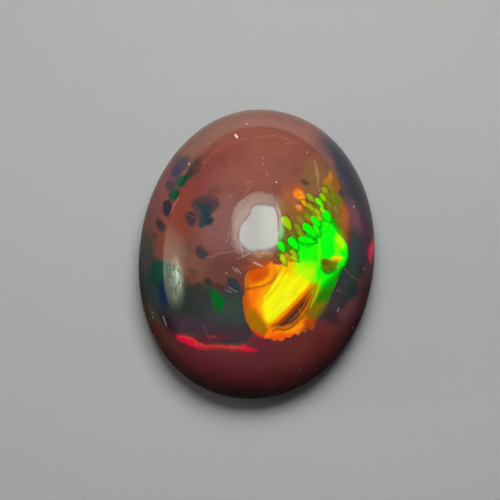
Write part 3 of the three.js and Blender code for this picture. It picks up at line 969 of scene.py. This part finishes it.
SPECK = "#e8cabc"
# The pale colour of fine scratches is a painted highlight
SCRATCH_HIGHLIGHT = "#b89a8e"
STROKES = (
    # Dust, the largest speck first, and a dark pinpoint
    Stroke("#ffd8cc", 1.05, 0.95, (((235.4, 135), (237, 137.2)),)),
    Stroke(SPECK, 0.78, 0.7, (((189, 163.6), (189, 164.2)), ((276.3, 182), (276.5, 182.2)))),
    Stroke(SPECK, 0.55, 0.5, (
        ((245.8, 124), (247.6, 124)), ((307, 152.2), (307.2, 152.4)), ((364.2, 268), (364.6, 269)),
        ((353.6, 207), (354.2, 205.8)), ((352.3, 327.2), (352.6, 327.6)), ((226.2, 273), (226.6, 273.4)))),
    Stroke("#b88478", 0.7, 0.6, (((263, 157.6), (263, 158.2)), ((263, 163.6), (263.2, 164.4)))),
    Stroke("#b0b08c", 0.8, 0.6, (((152.5, 312.4), (152.5, 312.6)), ((153, 316.8), (153.2, 317.2)))),
    Stroke("#3a1414", 0.8, 0.8, (((207, 165.6), (207, 165.8)),)),
    # Scratches, from the deepest to the finest. They are real, and their pale colours are painted highlight,
    # the light that they catch
    Stroke("#e8bcae", 0.55, 0.8, (((253.6, 262.3), (262.4, 266.4)),)),
    Stroke("#aeaaae", 0.55, 0.7, (((337.4, 311.4), (338.8, 307.8)), ((163.2, 316.6), (166.3, 325.6)))),
    Stroke("#c0a298", 0.48, 0.62, (
        ((232.7, 267.4), (236.4, 271.8)), ((236.6, 268.6), (240.6, 273.2)),
        ((239.8, 241.6), (241.4, 249.6), (243.4, 256.8), (249.6, 253)))),
    Stroke("#84888a", 0.5, 0.65, (((229.2, 287.3), (236.8, 291.8)), ((226, 290), (231.6, 292.4)))),
    Stroke("#50555c", 0.45, 0.55, (((229.4, 282), (237.2, 287.6)), ((232, 280.4), (238.6, 285.2)))),
    Stroke("#8a6a6a", 0.6, 0.5, (((298.4, 367.2), (302, 371.2)),)),
    Stroke("#b08a6c", 0.42, 0.4, (((271.8, 192.4), (278, 197.2)), ((276.4, 198), (280.4, 203.6)))),
    Stroke(SCRATCH_HIGHLIGHT, 0.4, 0.32, (
        ((228.8, 231), (228.6, 237), (226.2, 242)), ((231.2, 242.6), (232.6, 247.6)),
        ((234.4, 246.6), (236.4, 251.4)), ((238.6, 203.6), (242.6, 200)), ((228.6, 195), (232, 198.8)),
        ((251, 186.6), (247, 190.6), (244.2, 196)), ((231.6, 222), (232.4, 214), (234.6, 206)),
        ((247, 182.6), (251, 181.4)), ((266, 171.6), (267.6, 176)),
        ((336.6, 290.8), (339, 289.6), (341.4, 292.4)))),
    # Cracks, veins and creases in the opal
    Stroke("#8a545a", 0.5, 0.5, (((203.8, 325), (206.2, 333.4), (210, 340.6)),)),
    Stroke("#7f563f", 0.57, 0.68, (((344, 268.8), (349, 273.3), (353.6, 277.9), (361.4, 281.4)),)),
    Stroke("#a0746a", 0.52, 0.58, (
        ((205.5, 257.6), (213, 256.8), (218, 253), (226.5, 252.6), (237, 250.2)),
        ((237, 258.8), (243.4, 256.8)))),
    Stroke("#aa7266", 0.5, 0.48, (
        ((240, 140), (249, 138)), ((254, 138.8), (262, 136.4), (275, 135.6), (283, 137.6), (293, 140.5)),
        ((286, 143.6), (292, 142.9), (299, 142.2)))),
    Stroke("#9c6048", 0.55, 0.35, (
        ((209.6, 143.8), (220.4, 139)), ((204, 163.6), (212.6, 153), (222, 148.4)))),
    Stroke("#98665a", 0.5, 0.28, (
        ((186.4, 213.4), (194.6, 217.4)), ((196, 206), (201, 213.4)), ((209.4, 217.4), (214, 214.6)))),
    # Grooves under the light, darkened with painted shade, and dark nicks in the green spot
    Stroke("#4b2d1d", 0.5, 0.5, (
        ((266.8, 259), (272, 252.8)), ((271, 260.2), (275.8, 253.8)), ((275, 262), (278.6, 256)),
        ((240.4, 246.6), (245.6, 250.8), (253, 252.4)), ((258.6, 253.4), (262.4, 255)),
        ((264, 255.6), (269.6, 251.4), (276, 248)))),
    Stroke("#1d3d2a", 0.6, 0.5, (
        ((211.6, 293), (214.4, 296.6)), ((215.6, 292), (217.6, 294.6)), ((213.4, 298.4), (216, 300.4)),
        ((216.6, 305), (218.6, 307.4)))),
)

# Where the polish has an orange peel, by its strength
PEELED = (
    Mark("left side", "#000000", oval((175, 275), (50, 18), 88), 16, 1, 0.1),
    Mark("middle of the left side", "#000000", oval((176, 277), (30, 11), 88), 10, 1, 0.3),
    Mark("left of the light", "#000000", oval((232, 226), (34, 6), 88), 6, 1, 0.5),
    Mark("under the light", "#000000", oval((254, 255), (32, 5), 2), 5, 1, 0.8),
    Mark("over the light", "#000000", oval((258, 191), (26, 5)), 5, 1, 0.4),
)

# Marks that the picture doesn't show, low on the sides and on the back
HIDDEN = (
    # Darker low down, below about 0.75 mm from the back
    Mark("smoky underside", "#3c2320", lambda points: (0.75 - points.place[:, 2]) * PER_MM, 16),
    Mark("slate under the left", "#2b2c2e", flank(196, 0.7, (3.4, 1.3)), 14),
    Mark("slate under the right", "#2a2a2f", flank(8, 0.8, (4.2, 1.4)), 14),
    Mark("dark patch behind", "#332127", flank(116, 1.0, (1.5, 0.6)), 8),
    Mark("dark patch behind 2", "#2d2430", flank(63, 0.8, (1.1, 0.55)), 8),
    Mark("dark fleck behind", "#2e1c24", flank(98, 1.5, (0.4, 0.2)), 5),
    Mark("dark fleck behind 2", "#241824", flank(84, 1.1, (0.3, 0.24)), 5),
    Mark("dark fleck behind 3", "#2c1d26", flank(137, 1.3, (0.5, 0.22)), 5),
    Mark("dark fleck behind 4", "#382226", flank(79, 1.32, (0.24, 0.16)), 5),
    Mark("dark fleck behind 5", "#301e26", flank(131, 0.95, (0.3, 0.16)), 5),
    Mark("green fleck behind", "#0c4a2c", flank(124, 0.9, (0.34, 0.2)), 5, 1, 0.06),
    Mark("green fleck behind 2", "#0f522a", flank(71, 0.7, (0.4, 0.16)), 5, 1, 0.08),
    Mark("ember fleck behind", "#943a20", flank(52, 0.9, (0.44, 0.14)), 5, 1, 0.2),
    Mark("red line under the right", "#c8102c", flank(-22, 0.75, (1.3, 0.1)), 2.4, 1, 0.35),
    Mark("green fleck under the front", "#0f6a30", flank(-70, 0.6, (0.5, 0.2)), 3, 1, 0.12),
    Mark("back", "#35231f", lambda points: (BACK_TOP - points.place[:, 2]) * FAR_OFF * PER_MM, 6),
    Mark("paler potch on the back", "#54382f", back_oval((-0.6, 1.4), (2.6, 2.2), 30), 30),
    Mark("slate on the back", "#26282b", back_oval((0.9, -2.6), (2.4, 1.7), -20), 22),
    Mark("green on the back", "#15502c", back_oval((1.9, 1.2), (1.1, 0.5), 55), 8, 1, 0.1),
    Mark("ember on the back", "#94401c", back_oval((-1.8, -1.3), (0.9, 0.35), -25), 7, 1, 0.15),
)


def soft_share(depth, edge):
    """How far a mark covers a point, from 0 outside its soft edge to 1 inside."""
    share = np.clip(depth / edge + 0.5, 0, 1)
    return share**2 * (3 - 2 * share)


def coat_of(mark):
    """A mark's colour and glow."""
    return np.array((*linear(mark.colour)[:3], mark.glow))


def painted(points, ground, marks):
    """The colour and glow of each point, once the marks are laid over the ground in their order."""
    coat = np.tile(ground, (len(points.place), 1))
    for mark in marks:
        cover = mark.cover * soft_share(mark.shape(points), mark.edge)
        if not cover.any():
            raise RuntimeError(f"the mark {mark.name!r} touches none of the points")
        coat += cover[:, None] * (coat_of(mark) - coat)
    return coat


def tiled(points, scales):
    """The deepest depth in any of the scales, and that scale's colour, glow and cover, at each point."""
    depths = np.stack([leaf(scale.root, scale.tip, scale.half_width)(points) for scale in scales])
    nearest = depths.argmax(axis=0)
    coats = np.array([coat_of(scale) for scale in scales])
    covers = np.array([scale.cover for scale in scales])
    return depths.max(axis=0), coats[nearest], covers[nearest]


def carry(mesh, name, values):
    """Puts numbers, places or colours on the mesh's points, for its material to read."""
    kinds = {1: ("FLOAT", "value"), 3: ("FLOAT_VECTOR", "vector"), 4: ("FLOAT_COLOR", "color")}
    kind, key = kinds[values.size // len(values)]
    mesh.attributes.new(name, kind, "POINT").data.foreach_set(key, values.astype(np.float32).ravel())


def paint_stone(stage, finish, mesh):
    """Paints the opal's clouds, spots, flash and scales on the mesh's points."""
    places = np.empty(len(mesh.vertices) * 3)
    mesh.vertices.foreach_get("co", places)
    normals = np.empty(len(mesh.vertices) * 3)
    mesh.vertex_normals.foreach_get("vector", normals)
    points = map_points(stage, places.reshape(-1, 3), normals.reshape(-1, 3))
    ground = np.array((*linear(finish.body)[:3], 0.0))
    natural = wobbled(points)
    body = painted(natural, ground, BODY)
    hidden = painted(natural, ground, HIDDEN)
    fire = np.array((*linear(FLASH_GROUND)[:3], 1.0))
    scale_depth, scale_coat, scale_cover = tiled(points, SCALES)
    unseen = soft_share(natural.turned - HIDDEN_BLEND, HIDDEN_BLEND)[:, None]
    carried = {
        FACE_MAP: np.column_stack((points.picture, points.turned)),
        BODY_PAINT: body + unseen * (hidden - body),
        FLASH_PAINT: painted(points, fire, FLASH),
        FLASH_DEPTH: FLASH_OUTLINE(points),
        SCALE_PAINT: scale_coat,
        SCALE_DEPTH: scale_depth,
        SCALE_COVER: scale_cover,
        PEEL: painted(points, np.zeros(4), PEELED)[:, 3],
    }
    for name, values in carried.items():
        carry(mesh, name, values)


def lay_group():
    """Lays one patch over what is painted so far: its colour and its glow, as far as it covers."""
    tree, node, given = new_group(
        "Lay Patch", "ShaderNodeTree",
        {"Colour": "Color", "Glow": "Float", "Depth": "Float", "Edge": "Float", "Cover": "Float",
         "New Colour": "Color", "New Glow": "Float"},
        {"Colour": "Color", "Glow": "Float"},
    )
    half_edge = node(MATH, (given["Edge"], 0.5), operation="MULTIPLY")
    outside = node(MATH, (half_edge, -1.0), operation="MULTIPLY")
    cover = node(
        MAP_RANGE, (given["Depth"], outside, half_edge, 0.0, given["Cover"]),
        interpolation_type="SMOOTHSTEP",
    )
    colour = node(MIX, {0: cover, 6: given["Colour"], 7: given["New Colour"]}, data_type="RGBA")
    glow = node(MIX, {0: cover, 2: given["Glow"], 3: given["New Glow"]})
    node("NodeGroupOutput", (colour.outputs[2], glow))
    return tree


def stroke_group():
    """How deep inside a round-ended line a point is."""
    tree, node, given = new_group(
        "Depth In Stroke", "ShaderNodeTree",
        {"Map": "Vector", "Start": "Vector", "Way": "Vector", "Half Width": "Float"},
        {"Depth": "Float"},
    )
    away = node(VECTOR_MATH, (given["Map"], given["Start"]), operation="SUBTRACT")
    along = node(VECTOR_MATH, (away, given["Way"]), operation="DOT_PRODUCT").outputs["Value"]
    square = node(VECTOR_MATH, (given["Way"], given["Way"]), operation="DOT_PRODUCT").outputs["Value"]
    passed = node(MATH, (along, square), operation="DIVIDE")
    # A Clamp node, as a clamp in the Math node would keep every stroke's numbers in the renderer's memory
    share = node("ShaderNodeClamp", (passed,))
    foot = node(VECTOR_MATH, {0: given["Way"], "Scale": share}, operation="SCALE")
    off = node(VECTOR_MATH, (away, foot), operation="SUBTRACT")
    far = node(VECTOR_MATH, (off,), operation="LENGTH").outputs["Value"]
    depth = node(MATH, (given["Half Width"], far), operation="SUBTRACT")
    node("NodeGroupOutput", (depth,))
    return tree


def polished_precious_opal(finish):
    """Precious opal, cut on a lap and polished with cerium oxide: hard wet gloss over a smoky jelly-like
    body, with patches of pure spectral colour lying in it."""
    opal, node = new_material("polished_precious_opal")
    lay, stroke = lay_group(), stroke_group()
    in_metres = node("ShaderNodeTexCoord").outputs["Object"]
    in_mm = node(VECTOR_MATH, {0: in_metres, "Scale": 1 / MM}, operation="SCALE")
    on_face = node(ATTRIBUTE, attribute_name=FACE_MAP).outputs["Vector"]
    body, flash, scale = (
        node(ATTRIBUTE, attribute_name=name).outputs for name in (BODY_PAINT, FLASH_PAINT, SCALE_PAINT)
    )
    flash_depth, scale_depth, scale_cover, peel = (
        node(ATTRIBUTE, attribute_name=name).outputs["Fac"]
        for name in (FLASH_DEPTH, SCALE_DEPTH, SCALE_COVER, PEEL)
    )

    # Clouds in the jelly, and a grain that breaks up glowing threads
    clouds = node(NOISE, {"Vector": in_mm, "Scale": CLOUDS_PER_MM, "Detail": 6.0, "Roughness": 0.74})
    shade = node(MAP_RANGE, (clouds, *CLOUD_SPAN, *CLOUD_SHADE))
    grain = node(NOISE, {"Vector": in_mm, "Scale": GRAIN_PER_MM, "Detail": 2.0, "Roughness": 0.5})
    thread = node(MAP_RANGE, (grain, *GRAIN_SPAN, *THREAD_SHADE))
    broken = node(MIX, {0: body["Alpha"], 2: shade, 3: thread})
    clouded = node(VECTOR_MATH, {0: body["Color"], "Scale": broken}, operation="SCALE")

    # The flash has a fibrous grain, whose hue and strength wander, and a frayed edge
    laid_along = node(
        "ShaderNodeMapping", {"Vector": on_face, "Rotation": (0.0, 0.0, FIBRES_LIE), "Scale": FIBRE_SIZE},
        vector_type="TEXTURE",
    )
    fibres = node(NOISE, {"Vector": laid_along, "Scale": 1.0, "Detail": 4.0, "Roughness": 0.6})
    strength = node(MAP_RANGE, (fibres, *CLOUD_SPAN, *FIBRE_SHADE))
    hue = node(MAP_RANGE, (fibres.outputs["Color"], *CLOUD_SPAN, *FIBRE_HUE))
    fibrous = node("ShaderNodeHueSaturation", {"Hue": hue, "Value": strength, "Color": flash["Color"]})
    fray = node(MAP_RANGE, (grain, 0.0, 1.0, -FRAY, FRAY))
    flash_edge = node(MATH, (flash_depth, fray), operation="ADD")

    # Each scale is brightest in its middle
    scale_edge = node(MATH, (fray, SCALE_FRAY, scale_depth), operation="MULTIPLY_ADD")
    middle = node(
        MAP_RANGE, (scale_edge, 0.0, SCALE_MIDDLE, *SCALE_SHADE), interpolation_type="SMOOTHSTEP"
    )
    domed = node(VECTOR_MATH, {0: scale["Color"], "Scale": middle}, operation="SCALE")
    colour, glow = clouded, body["Alpha"]
    for layer in (
        (flash_edge, FLASH_EDGE, 1.0, fibrous, flash["Alpha"]),
        (scale_edge, SCALE_EDGE, scale_cover, domed, scale["Alpha"]),
    ):
        colour, glow = node(GROUP, (colour, glow, *layer), node_tree=lay).outputs

    # A dark seam round each scale, and a fine golden one round a dull scale
    off_seam = node(MATH, (scale_edge, SEAM_OUT), operation="ADD")
    from_seam = node(MATH, (off_seam,), operation="ABSOLUTE")
    seam_dark = node(MAP_RANGE, (scale["Alpha"], 0.0, SEAM_GLOW, *SEAM_SHADE))
    seam = node(
        MAP_RANGE, (from_seam, 0.0, SEAM_REACH, seam_dark, 1.0), interpolation_type="SMOOTHSTEP"
    )
    colour = node(VECTOR_MATH, {0: colour, "Scale": seam}, operation="SCALE")
    dulness = node(MAP_RANGE, (scale["Alpha"], 0.0, GILT_GLOW, GILT_COVER, 0.0))
    gilt = node(MAP_RANGE, (from_seam, 0.0, GILT_REACH, dulness, 0.0))
    colour = node(MIX, {0: gilt, 6: colour, 7: linear(GILT)}, data_type="RGBA").outputs[2]

    for mark in STROKES:
        depth = -FAR_OFF
        for start, end in (piece for line in mark.lines for piece in zip(line, line[1:])):
            way = (end[0] - start[0], end[1] - start[1], 0.0)
            inside = node(GROUP, (on_face, (*start, 0.0), way, mark.half_width), node_tree=stroke)
            depth = node(MATH, (depth, inside), operation="MAXIMUM")
        layer = (depth, STROKE_EDGE, mark.cover, linear(mark.colour), 0.0)
        colour, glow = node(GROUP, (colour, glow, *layer), node_tree=lay).outputs

    # Painted light: where the play of colour shines, a share of its colour is given off as emission instead
    # of being reflected, so it stays bright whatever light falls on it
    shine = node(MATH, (glow, finish.play_glow), operation="MULTIPLY")
    dull = node(MATH, (1.0, shine), operation="SUBTRACT")
    reflecting = node(VECTOR_MATH, {0: colour, "Scale": dull}, operation="SCALE")
    shining = node(VECTOR_MATH, {0: colour, "Scale": shine}, operation="SCALE")

    # The left side's polish has an orange peel, and the flat back is only lapped, so it is dull
    peeled = node("ShaderNodeBump", {"Strength": peel, "Distance": PEEL_DEPTH, "Height": grain})
    height = node("ShaderNodeSeparateXYZ", (in_mm,)).outputs["Z"]
    polished = node(MAP_RANGE, (height, 0.0, BACK_TOP, finish.back, finish.polish))
    surface = node(
        "ShaderNodeBsdfPrincipled",
        {"Base Color": reflecting, "Emission Color": shining, "Emission Strength": 1.0,
         "Roughness": polished, "IOR": finish.refraction, "Normal": peeled},
    )
    node("ShaderNodeOutputMaterial", (surface,))
    return opal


class OPAL_OT_cabochon(bpy.types.Operator):
    """Cuts the cabochon, maps its face and gives it its opal"""

    bl_idname = "opal.cabochon"
    bl_label = "Cut and Polish Cabochon"

    def execute(self, context):
        scene = context.scene
        tree = cut_cabochon_tree()
        stone = bpy.data.objects.new(PIECE, bpy.data.meshes.new(PIECE))
        scene.collection.objects.link(stone)
        modifier = stone.modifiers.new("Cut", "NODES")
        modifier.node_group = tree
        # Each input is a setting of the shape, but for the opal
        opal = polished_precious_opal(scene.opal_finish)
        for socket in tree.interface.items_tree:
            if socket.in_out == "INPUT":
                setting = socket.name.lower().replace(" ", "_")
                modifier[socket.identifier] = getattr(scene.cabochon_shape, setting, opal)
        cut = stone.evaluated_get(context.evaluated_depsgraph_get())
        stone.data = bpy.data.meshes.new_from_object(cut)
        stone.data.name = PIECE
        stone.modifiers.clear()
        if not stone.data.polygons:
            raise RuntimeError("the cabochon came out empty")

        paint_stone(scene.studio_stage, scene.opal_finish, stone.data)
        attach(stone, "root")
        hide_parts(NODE)
        return {"FINISHED"}


def mirror_way(stage, stone, pixel):
    """Where the picture sees a pixel of the dome, and the way that the polish there mirrors."""
    eye, right, up, back = photo_axes(stage)
    pixels = stage.lens / SENSOR * PICTURE_SIDE
    ray = right * (pixel[0] - PICTURE_SIDE / 2) - up * (pixel[1] - PICTURE_SIDE / 2) - back * pixels
    hit, place, normal, _ = stone.ray_cast(eye, ray.normalized())
    if not hit:
        raise RuntimeError(f"the stone isn't at pixel {pixel}")
    return place, ray.normalized().reflect(normal)


class Panel(NamedTuple):
    """A soft studio light, placed by the image that the dome mirrors of it."""

    name: str
    colour: str
    radiance: float
    distance: float
    image: np.ndarray  # rows of places on the picture, in pixels
    light: tuple = ()  # brighter and dimmer parts of it, whose glow is their radiance
    outline: object = None  # gives each place's depth inside the image, to soften its edge
    soft: float = 1.0  # how wide the soft edge is, in pixels
    mirrored: bool = True  # whether the polish mirrors it, or it only lights the scene
    # The cloth's weave: how wide and long its threads are in the image, in pixels, and their contrast
    # for each unit of its radiance
    weave: tuple = ()


def rings(*knots):
    """Rings of places that fill a smooth closed outline, close together near its edge."""
    edge = smooth(knots, closed=True, per_span=4)
    middle = edge[:-1].mean(axis=0)
    shares = 1 - np.linspace(1, 0, RINGS) ** RINGS_CROWD
    return edge[:, None] + shares[None, :, None] * (middle - edge[:, None])


def ribbon(half_width, *knots):
    """Two rows of places on either side of a smooth line."""
    line = smooth(knots, closed=False)
    way = np.gradient(line, axis=0)
    aside = half_width * np.stack((-way[:, 1], way[:, 0]), axis=1) / np.hypot(*way.T)[:, None]
    return np.stack((line - aside, line + aside), axis=1)


# The window, its frame, the curtain and the side light, as the dome mirrors them
WINDOW = (
    (252.5, 205.2), (259.7, 203.5), (268, 204.2), (274.6, 205.6), (277.6, 212.4), (278.8, 221.8),
    (279.5, 231.5), (279.5, 240.1), (277.4, 246.4), (271.5, 249.3), (262.8, 251.2), (249, 251),
    (242.3, 247.3), (238.3, 240.7), (237.8, 233), (240.3, 224.8), (246.4, 217.7), (250, 211.6),
)
FRAME = (
    (250, 192.9), (257.7, 190.8), (265.4, 191.8), (272.6, 194), (277, 198.8), (280, 205.6), (283, 216),
    (285.6, 230), (284, 237.4), (279.4, 241.4), (277.6, 250), (270, 254.4), (256, 254.8), (245, 254.8),
    (236, 251.4), (231.4, 241), (230.4, 230), (232.2, 214.6), (234.8, 205.6), (239.1, 200.7), (244, 196.5),
)
CURTAIN = (
    (165.6, 224), (170, 214), (180, 216), (192, 232), (199, 252), (200, 275), (197, 296), (188, 312),
    (178, 318), (170, 308), (164, 296), (160.6, 284), (161, 272), (162.2, 262), (163, 245),
)
SIDE_LIGHT = (
    (163, 228), (172, 232), (180, 243), (183.5, 258), (184.5, 282), (183, 302), (179, 314), (172, 303),
    (166, 286), (163, 268), (162, 248),
)
PANELS = (
    Panel(
        "key_light", "#fff4f2", 4.5, 72 * MM, rings(*FRAME),
        (Mark("bright middle", "#f2feff", curve(*WINDOW), 1.5, 1, 13),), mirrored=False,
    ),
    Panel(
        "side_light", "#f4f0e0", 1.6, 305 * MM, rings(*SIDE_LIGHT),
        (Mark("bright strip", "#eef6de", oval((178.6, 276), (21, 3.4), 88), 1.5, 1, 7),), mirrored=False,
    ),
    Panel(
        "window", "#d2fdfa", 14.5, 70 * MM, rings(*WINDOW),
        (Mark("clear right side", "#ddfff8", oval((272, 224), (26, 10), 88), 9, 1, 16.8),
         Mark("grey left side", "#d8f8fa", oval((250, 230), (30, 5), 82), 8, 0.7, 13.4)),
        curve(*WINDOW), 1.2,
    ),
    Panel(
        "window_frame", "#e4f4e8", 5.9, 73 * MM, rings(*FRAME),
        (Mark("glare round the window", "#ecf8e4", oval((257.6, 227), (24.6, 22.4), 90), 6, 1, 8.4),
         Mark("glare beside the window", "#fff6d4", oval((280, 217), (22, 4), 84), 5, 1, 11),
         Mark("glare under the window", "#fff0d0", oval((262, 253), (20, 3), 2), 4, 0.8, 9)),
        curve(*FRAME), 2.0, weave=(2.0, 2.0, 0.02),
    ),
    Panel(
        "curtain", "#f4eedc", 0.0, 310 * MM, rings(*CURTAIN),
        (Mark("haze", "#e4ffdc", oval((167, 257), (28, 15), 86), 20, 1, 2.3),
         Mark("low haze", "#ecffe0", oval((172, 278), (23, 11), -84), 11, 0.95, 3.2),
         Mark("blue haze", "#bcdcff", oval((163.6, 292), (17, 4), -74), 7, 0.9, 1.8),
         Mark("low glare", "#e8ffdc", oval((174.6, 284), (17, 5.2), -80), 7, 1, 4.2),
         Mark("glare", "#ecffdd", oval((177.4, 275), (14, 4), -83), 5, 1, 10.6)),
        curve(*CURTAIN), 1.2, weave=(2.2, 8.0, 0.09),
    ),
    # A glowing strip that the polish mirrors as the table's far edge: a painted reflection
    Panel(
        "table_edge", "#ffeade", 2.6, 330 * MM,
        ribbon(0.5, (162.4, 262), (162.6, 250), (164.2, 232), (167, 221), (171.1, 212.4), (175.4, 203),
               (179, 196.6)),
    ),
)


def staged(mesh):
    """Shows a mesh as an object of the stage, and gives that object."""
    shown = bpy.data.objects.new(mesh.name, mesh)
    bpy.context.scene.collection.objects.link(shown)
    return shown


def sheet(name, side, height, material):
    """A level square sheet under the middle of the stone."""
    half = side / 2
    mesh = bpy.data.meshes.new(name)
    corners = [(x * half, y * half, height) for x, y in ((-1, -1), (1, -1), (1, 1), (-1, 1))]
    mesh.from_pydata(corners, [], [(0, 1, 2, 3)])
    mesh.materials.append(material)
    return staged(mesh)


def diffusion_cloth(panel):
    """White cloth stretched over a studio light, in which a weave may show."""
    cloth, node = new_material(panel.name + "_diffusion_cloth")
    light = node(ATTRIBUTE, attribute_name="light").outputs
    strength = light["Alpha"]
    if panel.weave:
        width, length, contrast = panel.weave
        image = node(ATTRIBUTE, attribute_name="image").outputs["Vector"]
        threads = node(
            "ShaderNodeMapping",
            {"Vector": image, "Rotation": (0.0, 0.0, THREADS_LEAN), "Scale": (length, width, 1.0)},
            vector_type="TEXTURE",
        )
        creases = node(NOISE, {"Vector": threads, "Scale": 1.0, "Detail": 2.0, "Roughness": 0.5})
        share = node(MAP_RANGE, (creases, *GRAIN_SPAN, -contrast, contrast))
        ripple = node(MATH, (share, strength, 1.0), operation="MULTIPLY_ADD")
        strength = node(MATH, (ripple, strength), operation="MULTIPLY")
    glowing = node("ShaderNodeEmission", (light["Color"], strength))
    node("ShaderNodeOutputMaterial", (glowing,))
    return cloth


def glowing_panel(stage, panel):
    """Places a panel so that the dome mirrors it where the picture shows it. The camera doesn't see it."""
    stone = bpy.data.objects[PIECE]
    rows, steps, _ = panel.image.shape
    pixels = panel.image.reshape(-1, 2)
    seen = [mirror_way(stage, stone, pixel) for pixel in pixels]
    faces = [
        (row * steps + step, row * steps + step + 1, (row + 1) * steps + step + 1, (row + 1) * steps + step)
        for row in range(rows - 1) for step in range(steps - 1)
    ]
    mesh = bpy.data.meshes.new(panel.name)
    mesh.from_pydata([place + way * panel.distance for place, way in seen], [], faces)
    zero = np.zeros(len(pixels))
    image = np.column_stack((pixels, zero))
    still = Points(pixels, zero + 1, zero, image)
    light = painted(still, np.array((*linear(panel.colour)[:3], panel.radiance)), panel.light)
    if panel.outline:
        light[:, 3] *= soft_share(panel.outline(still) - panel.soft / 2, panel.soft)
    carry(mesh, "light", light)
    carry(mesh, "image", image)
    mesh.materials.append(diffusion_cloth(panel))
    shown = staged(mesh)
    shown.visible_camera = False
    shown.visible_shadow = False
    shown.visible_diffuse = not panel.mirrored
    shown.visible_glossy = panel.mirrored


def matt_card(stage):
    """Pale matt card, which the stone lies on."""
    card, node = new_material("matt_card")
    surface = node("ShaderNodeBsdfPrincipled", {"Base Color": linear(stage.table), "Roughness": 0.8})
    node("ShaderNodeOutputMaterial", (surface,))
    return card


def graded_mat(stage):
    """A glow over the table for the polish to mirror, a painted reflection of the table: pale behind the
    stone, and dark before it as painted shade.
    """
    graded, node = new_material("graded_mat")
    place = node("ShaderNodeTexCoord").outputs["Object"]
    heading = node(VECTOR_MATH, (place,), operation="NORMALIZE")
    along = node(VECTOR_MATH, (heading, MAT_WAY), operation="DOT_PRODUCT").outputs["Value"]
    out = node(VECTOR_MATH, (place,), operation="LENGTH").outputs["Value"]
    lit = node(MAP_RANGE, (out, MAT_SHADE_FROM, MAT_SHADE_ENDS, MAT_SHADE, 1.0))
    behind = node(MAP_RANGE, (along, MAT_DARK_AT, 1.0, 0.0, 1.0))
    level = node(MATH, (behind, MAT_FALL), operation="POWER")
    far = node(MATH, (level, lit), operation="MULTIPLY")
    tones = {0: far, 6: linear(stage.mat_near), 7: linear(stage.mat_far)}
    tone = node(MIX, tones, data_type="RGBA").outputs[2]
    glowing = node("ShaderNodeEmission", (tone,))
    node("ShaderNodeOutputMaterial", (glowing,))
    return graded


class OPAL_OT_stage(bpy.types.Operator):
    """Sets the table, the lights and the camera"""

    bl_idname = "opal.stage"
    bl_label = "Set the Stage"

    def execute(self, context):
        scene = context.scene
        stage = scene.studio_stage
        if PIECE not in bpy.data.objects:
            raise RuntimeError("the stage is set round the stone, so the stone comes first")

        table = sheet("table_top", stage.table_size, 0.0, matt_card(stage))
        table.visible_glossy = False
        # Only the polish mirrors this mat
        mat = sheet("graded_mat", stage.table_size, MAT_LIFT, graded_mat(stage))
        mat.visible_camera = False
        mat.visible_diffuse = False
        mat.visible_shadow = False
        for panel in PANELS:
            glowing_panel(stage, panel)

        scene.world = bpy.data.worlds.new("dim_room")
        scene.world.use_nodes = True
        scene.world.node_tree.nodes["Background"].inputs["Color"].default_value = linear(stage.room)

        eye, _, _, back = photo_axes(stage)
        camera = bpy.data.cameras.new("picture")
        camera.lens = stage.lens
        camera.sensor_width = SENSOR
        camera.clip_start, camera.clip_end = CLIP_START, CLIP_END
        view = bpy.data.objects.new("picture", camera)
        view.location = eye
        view.rotation_mode = "QUATERNION"
        view.rotation_quaternion = (-back).to_track_quat("-Z", "Y")
        scene.collection.objects.link(view)
        scene.camera = view
        scene.view_settings.view_transform = "Standard"
        return {"FINISHED"}


class OPAL_PT_panel(bpy.types.Panel):
    """Lists the stone and its stage"""

    bl_idname = "OPAL_PT_panel"
    bl_label = "Black Opal"
    bl_space_type = "VIEW_3D"
    bl_region_type = "UI"
    bl_category = "Opal"

    def draw(self, context):
        scene = context.scene
        for operator, settings in STEPS:
            box = self.layout.box()
            for group in settings:
                values = getattr(scene, group)
                for name in values.__annotations__:
                    box.prop(values, name)
            box.operator(operator.bl_idname)


SETTINGS = {
    "cabochon_shape": CabochonShape,
    "opal_finish": OpalFinish,
    "studio_stage": StudioStage,
}
STEPS = (
    (OPAL_OT_cabochon, ("cabochon_shape", "opal_finish")),
    (OPAL_OT_stage, ("studio_stage",)),
)


def register():
    for name, group in SETTINGS.items():
        bpy.utils.register_class(group)
        setattr(bpy.types.Scene, name, bpy.props.PointerProperty(type=group))
    for operator, _ in STEPS:
        bpy.utils.register_class(operator)
    bpy.utils.register_class(OPAL_PT_panel)


def unregister():
    bpy.utils.unregister_class(OPAL_PT_panel)
    for operator, _ in reversed(STEPS):
        bpy.utils.unregister_class(operator)
    for name, group in SETTINGS.items():
        delattr(bpy.types.Scene, name)
        bpy.utils.unregister_class(group)


def main():
    register()
    bpy.ops.opal.cabochon()
    bpy.ops.opal.stage()


if __name__ == "__main__":
    main()
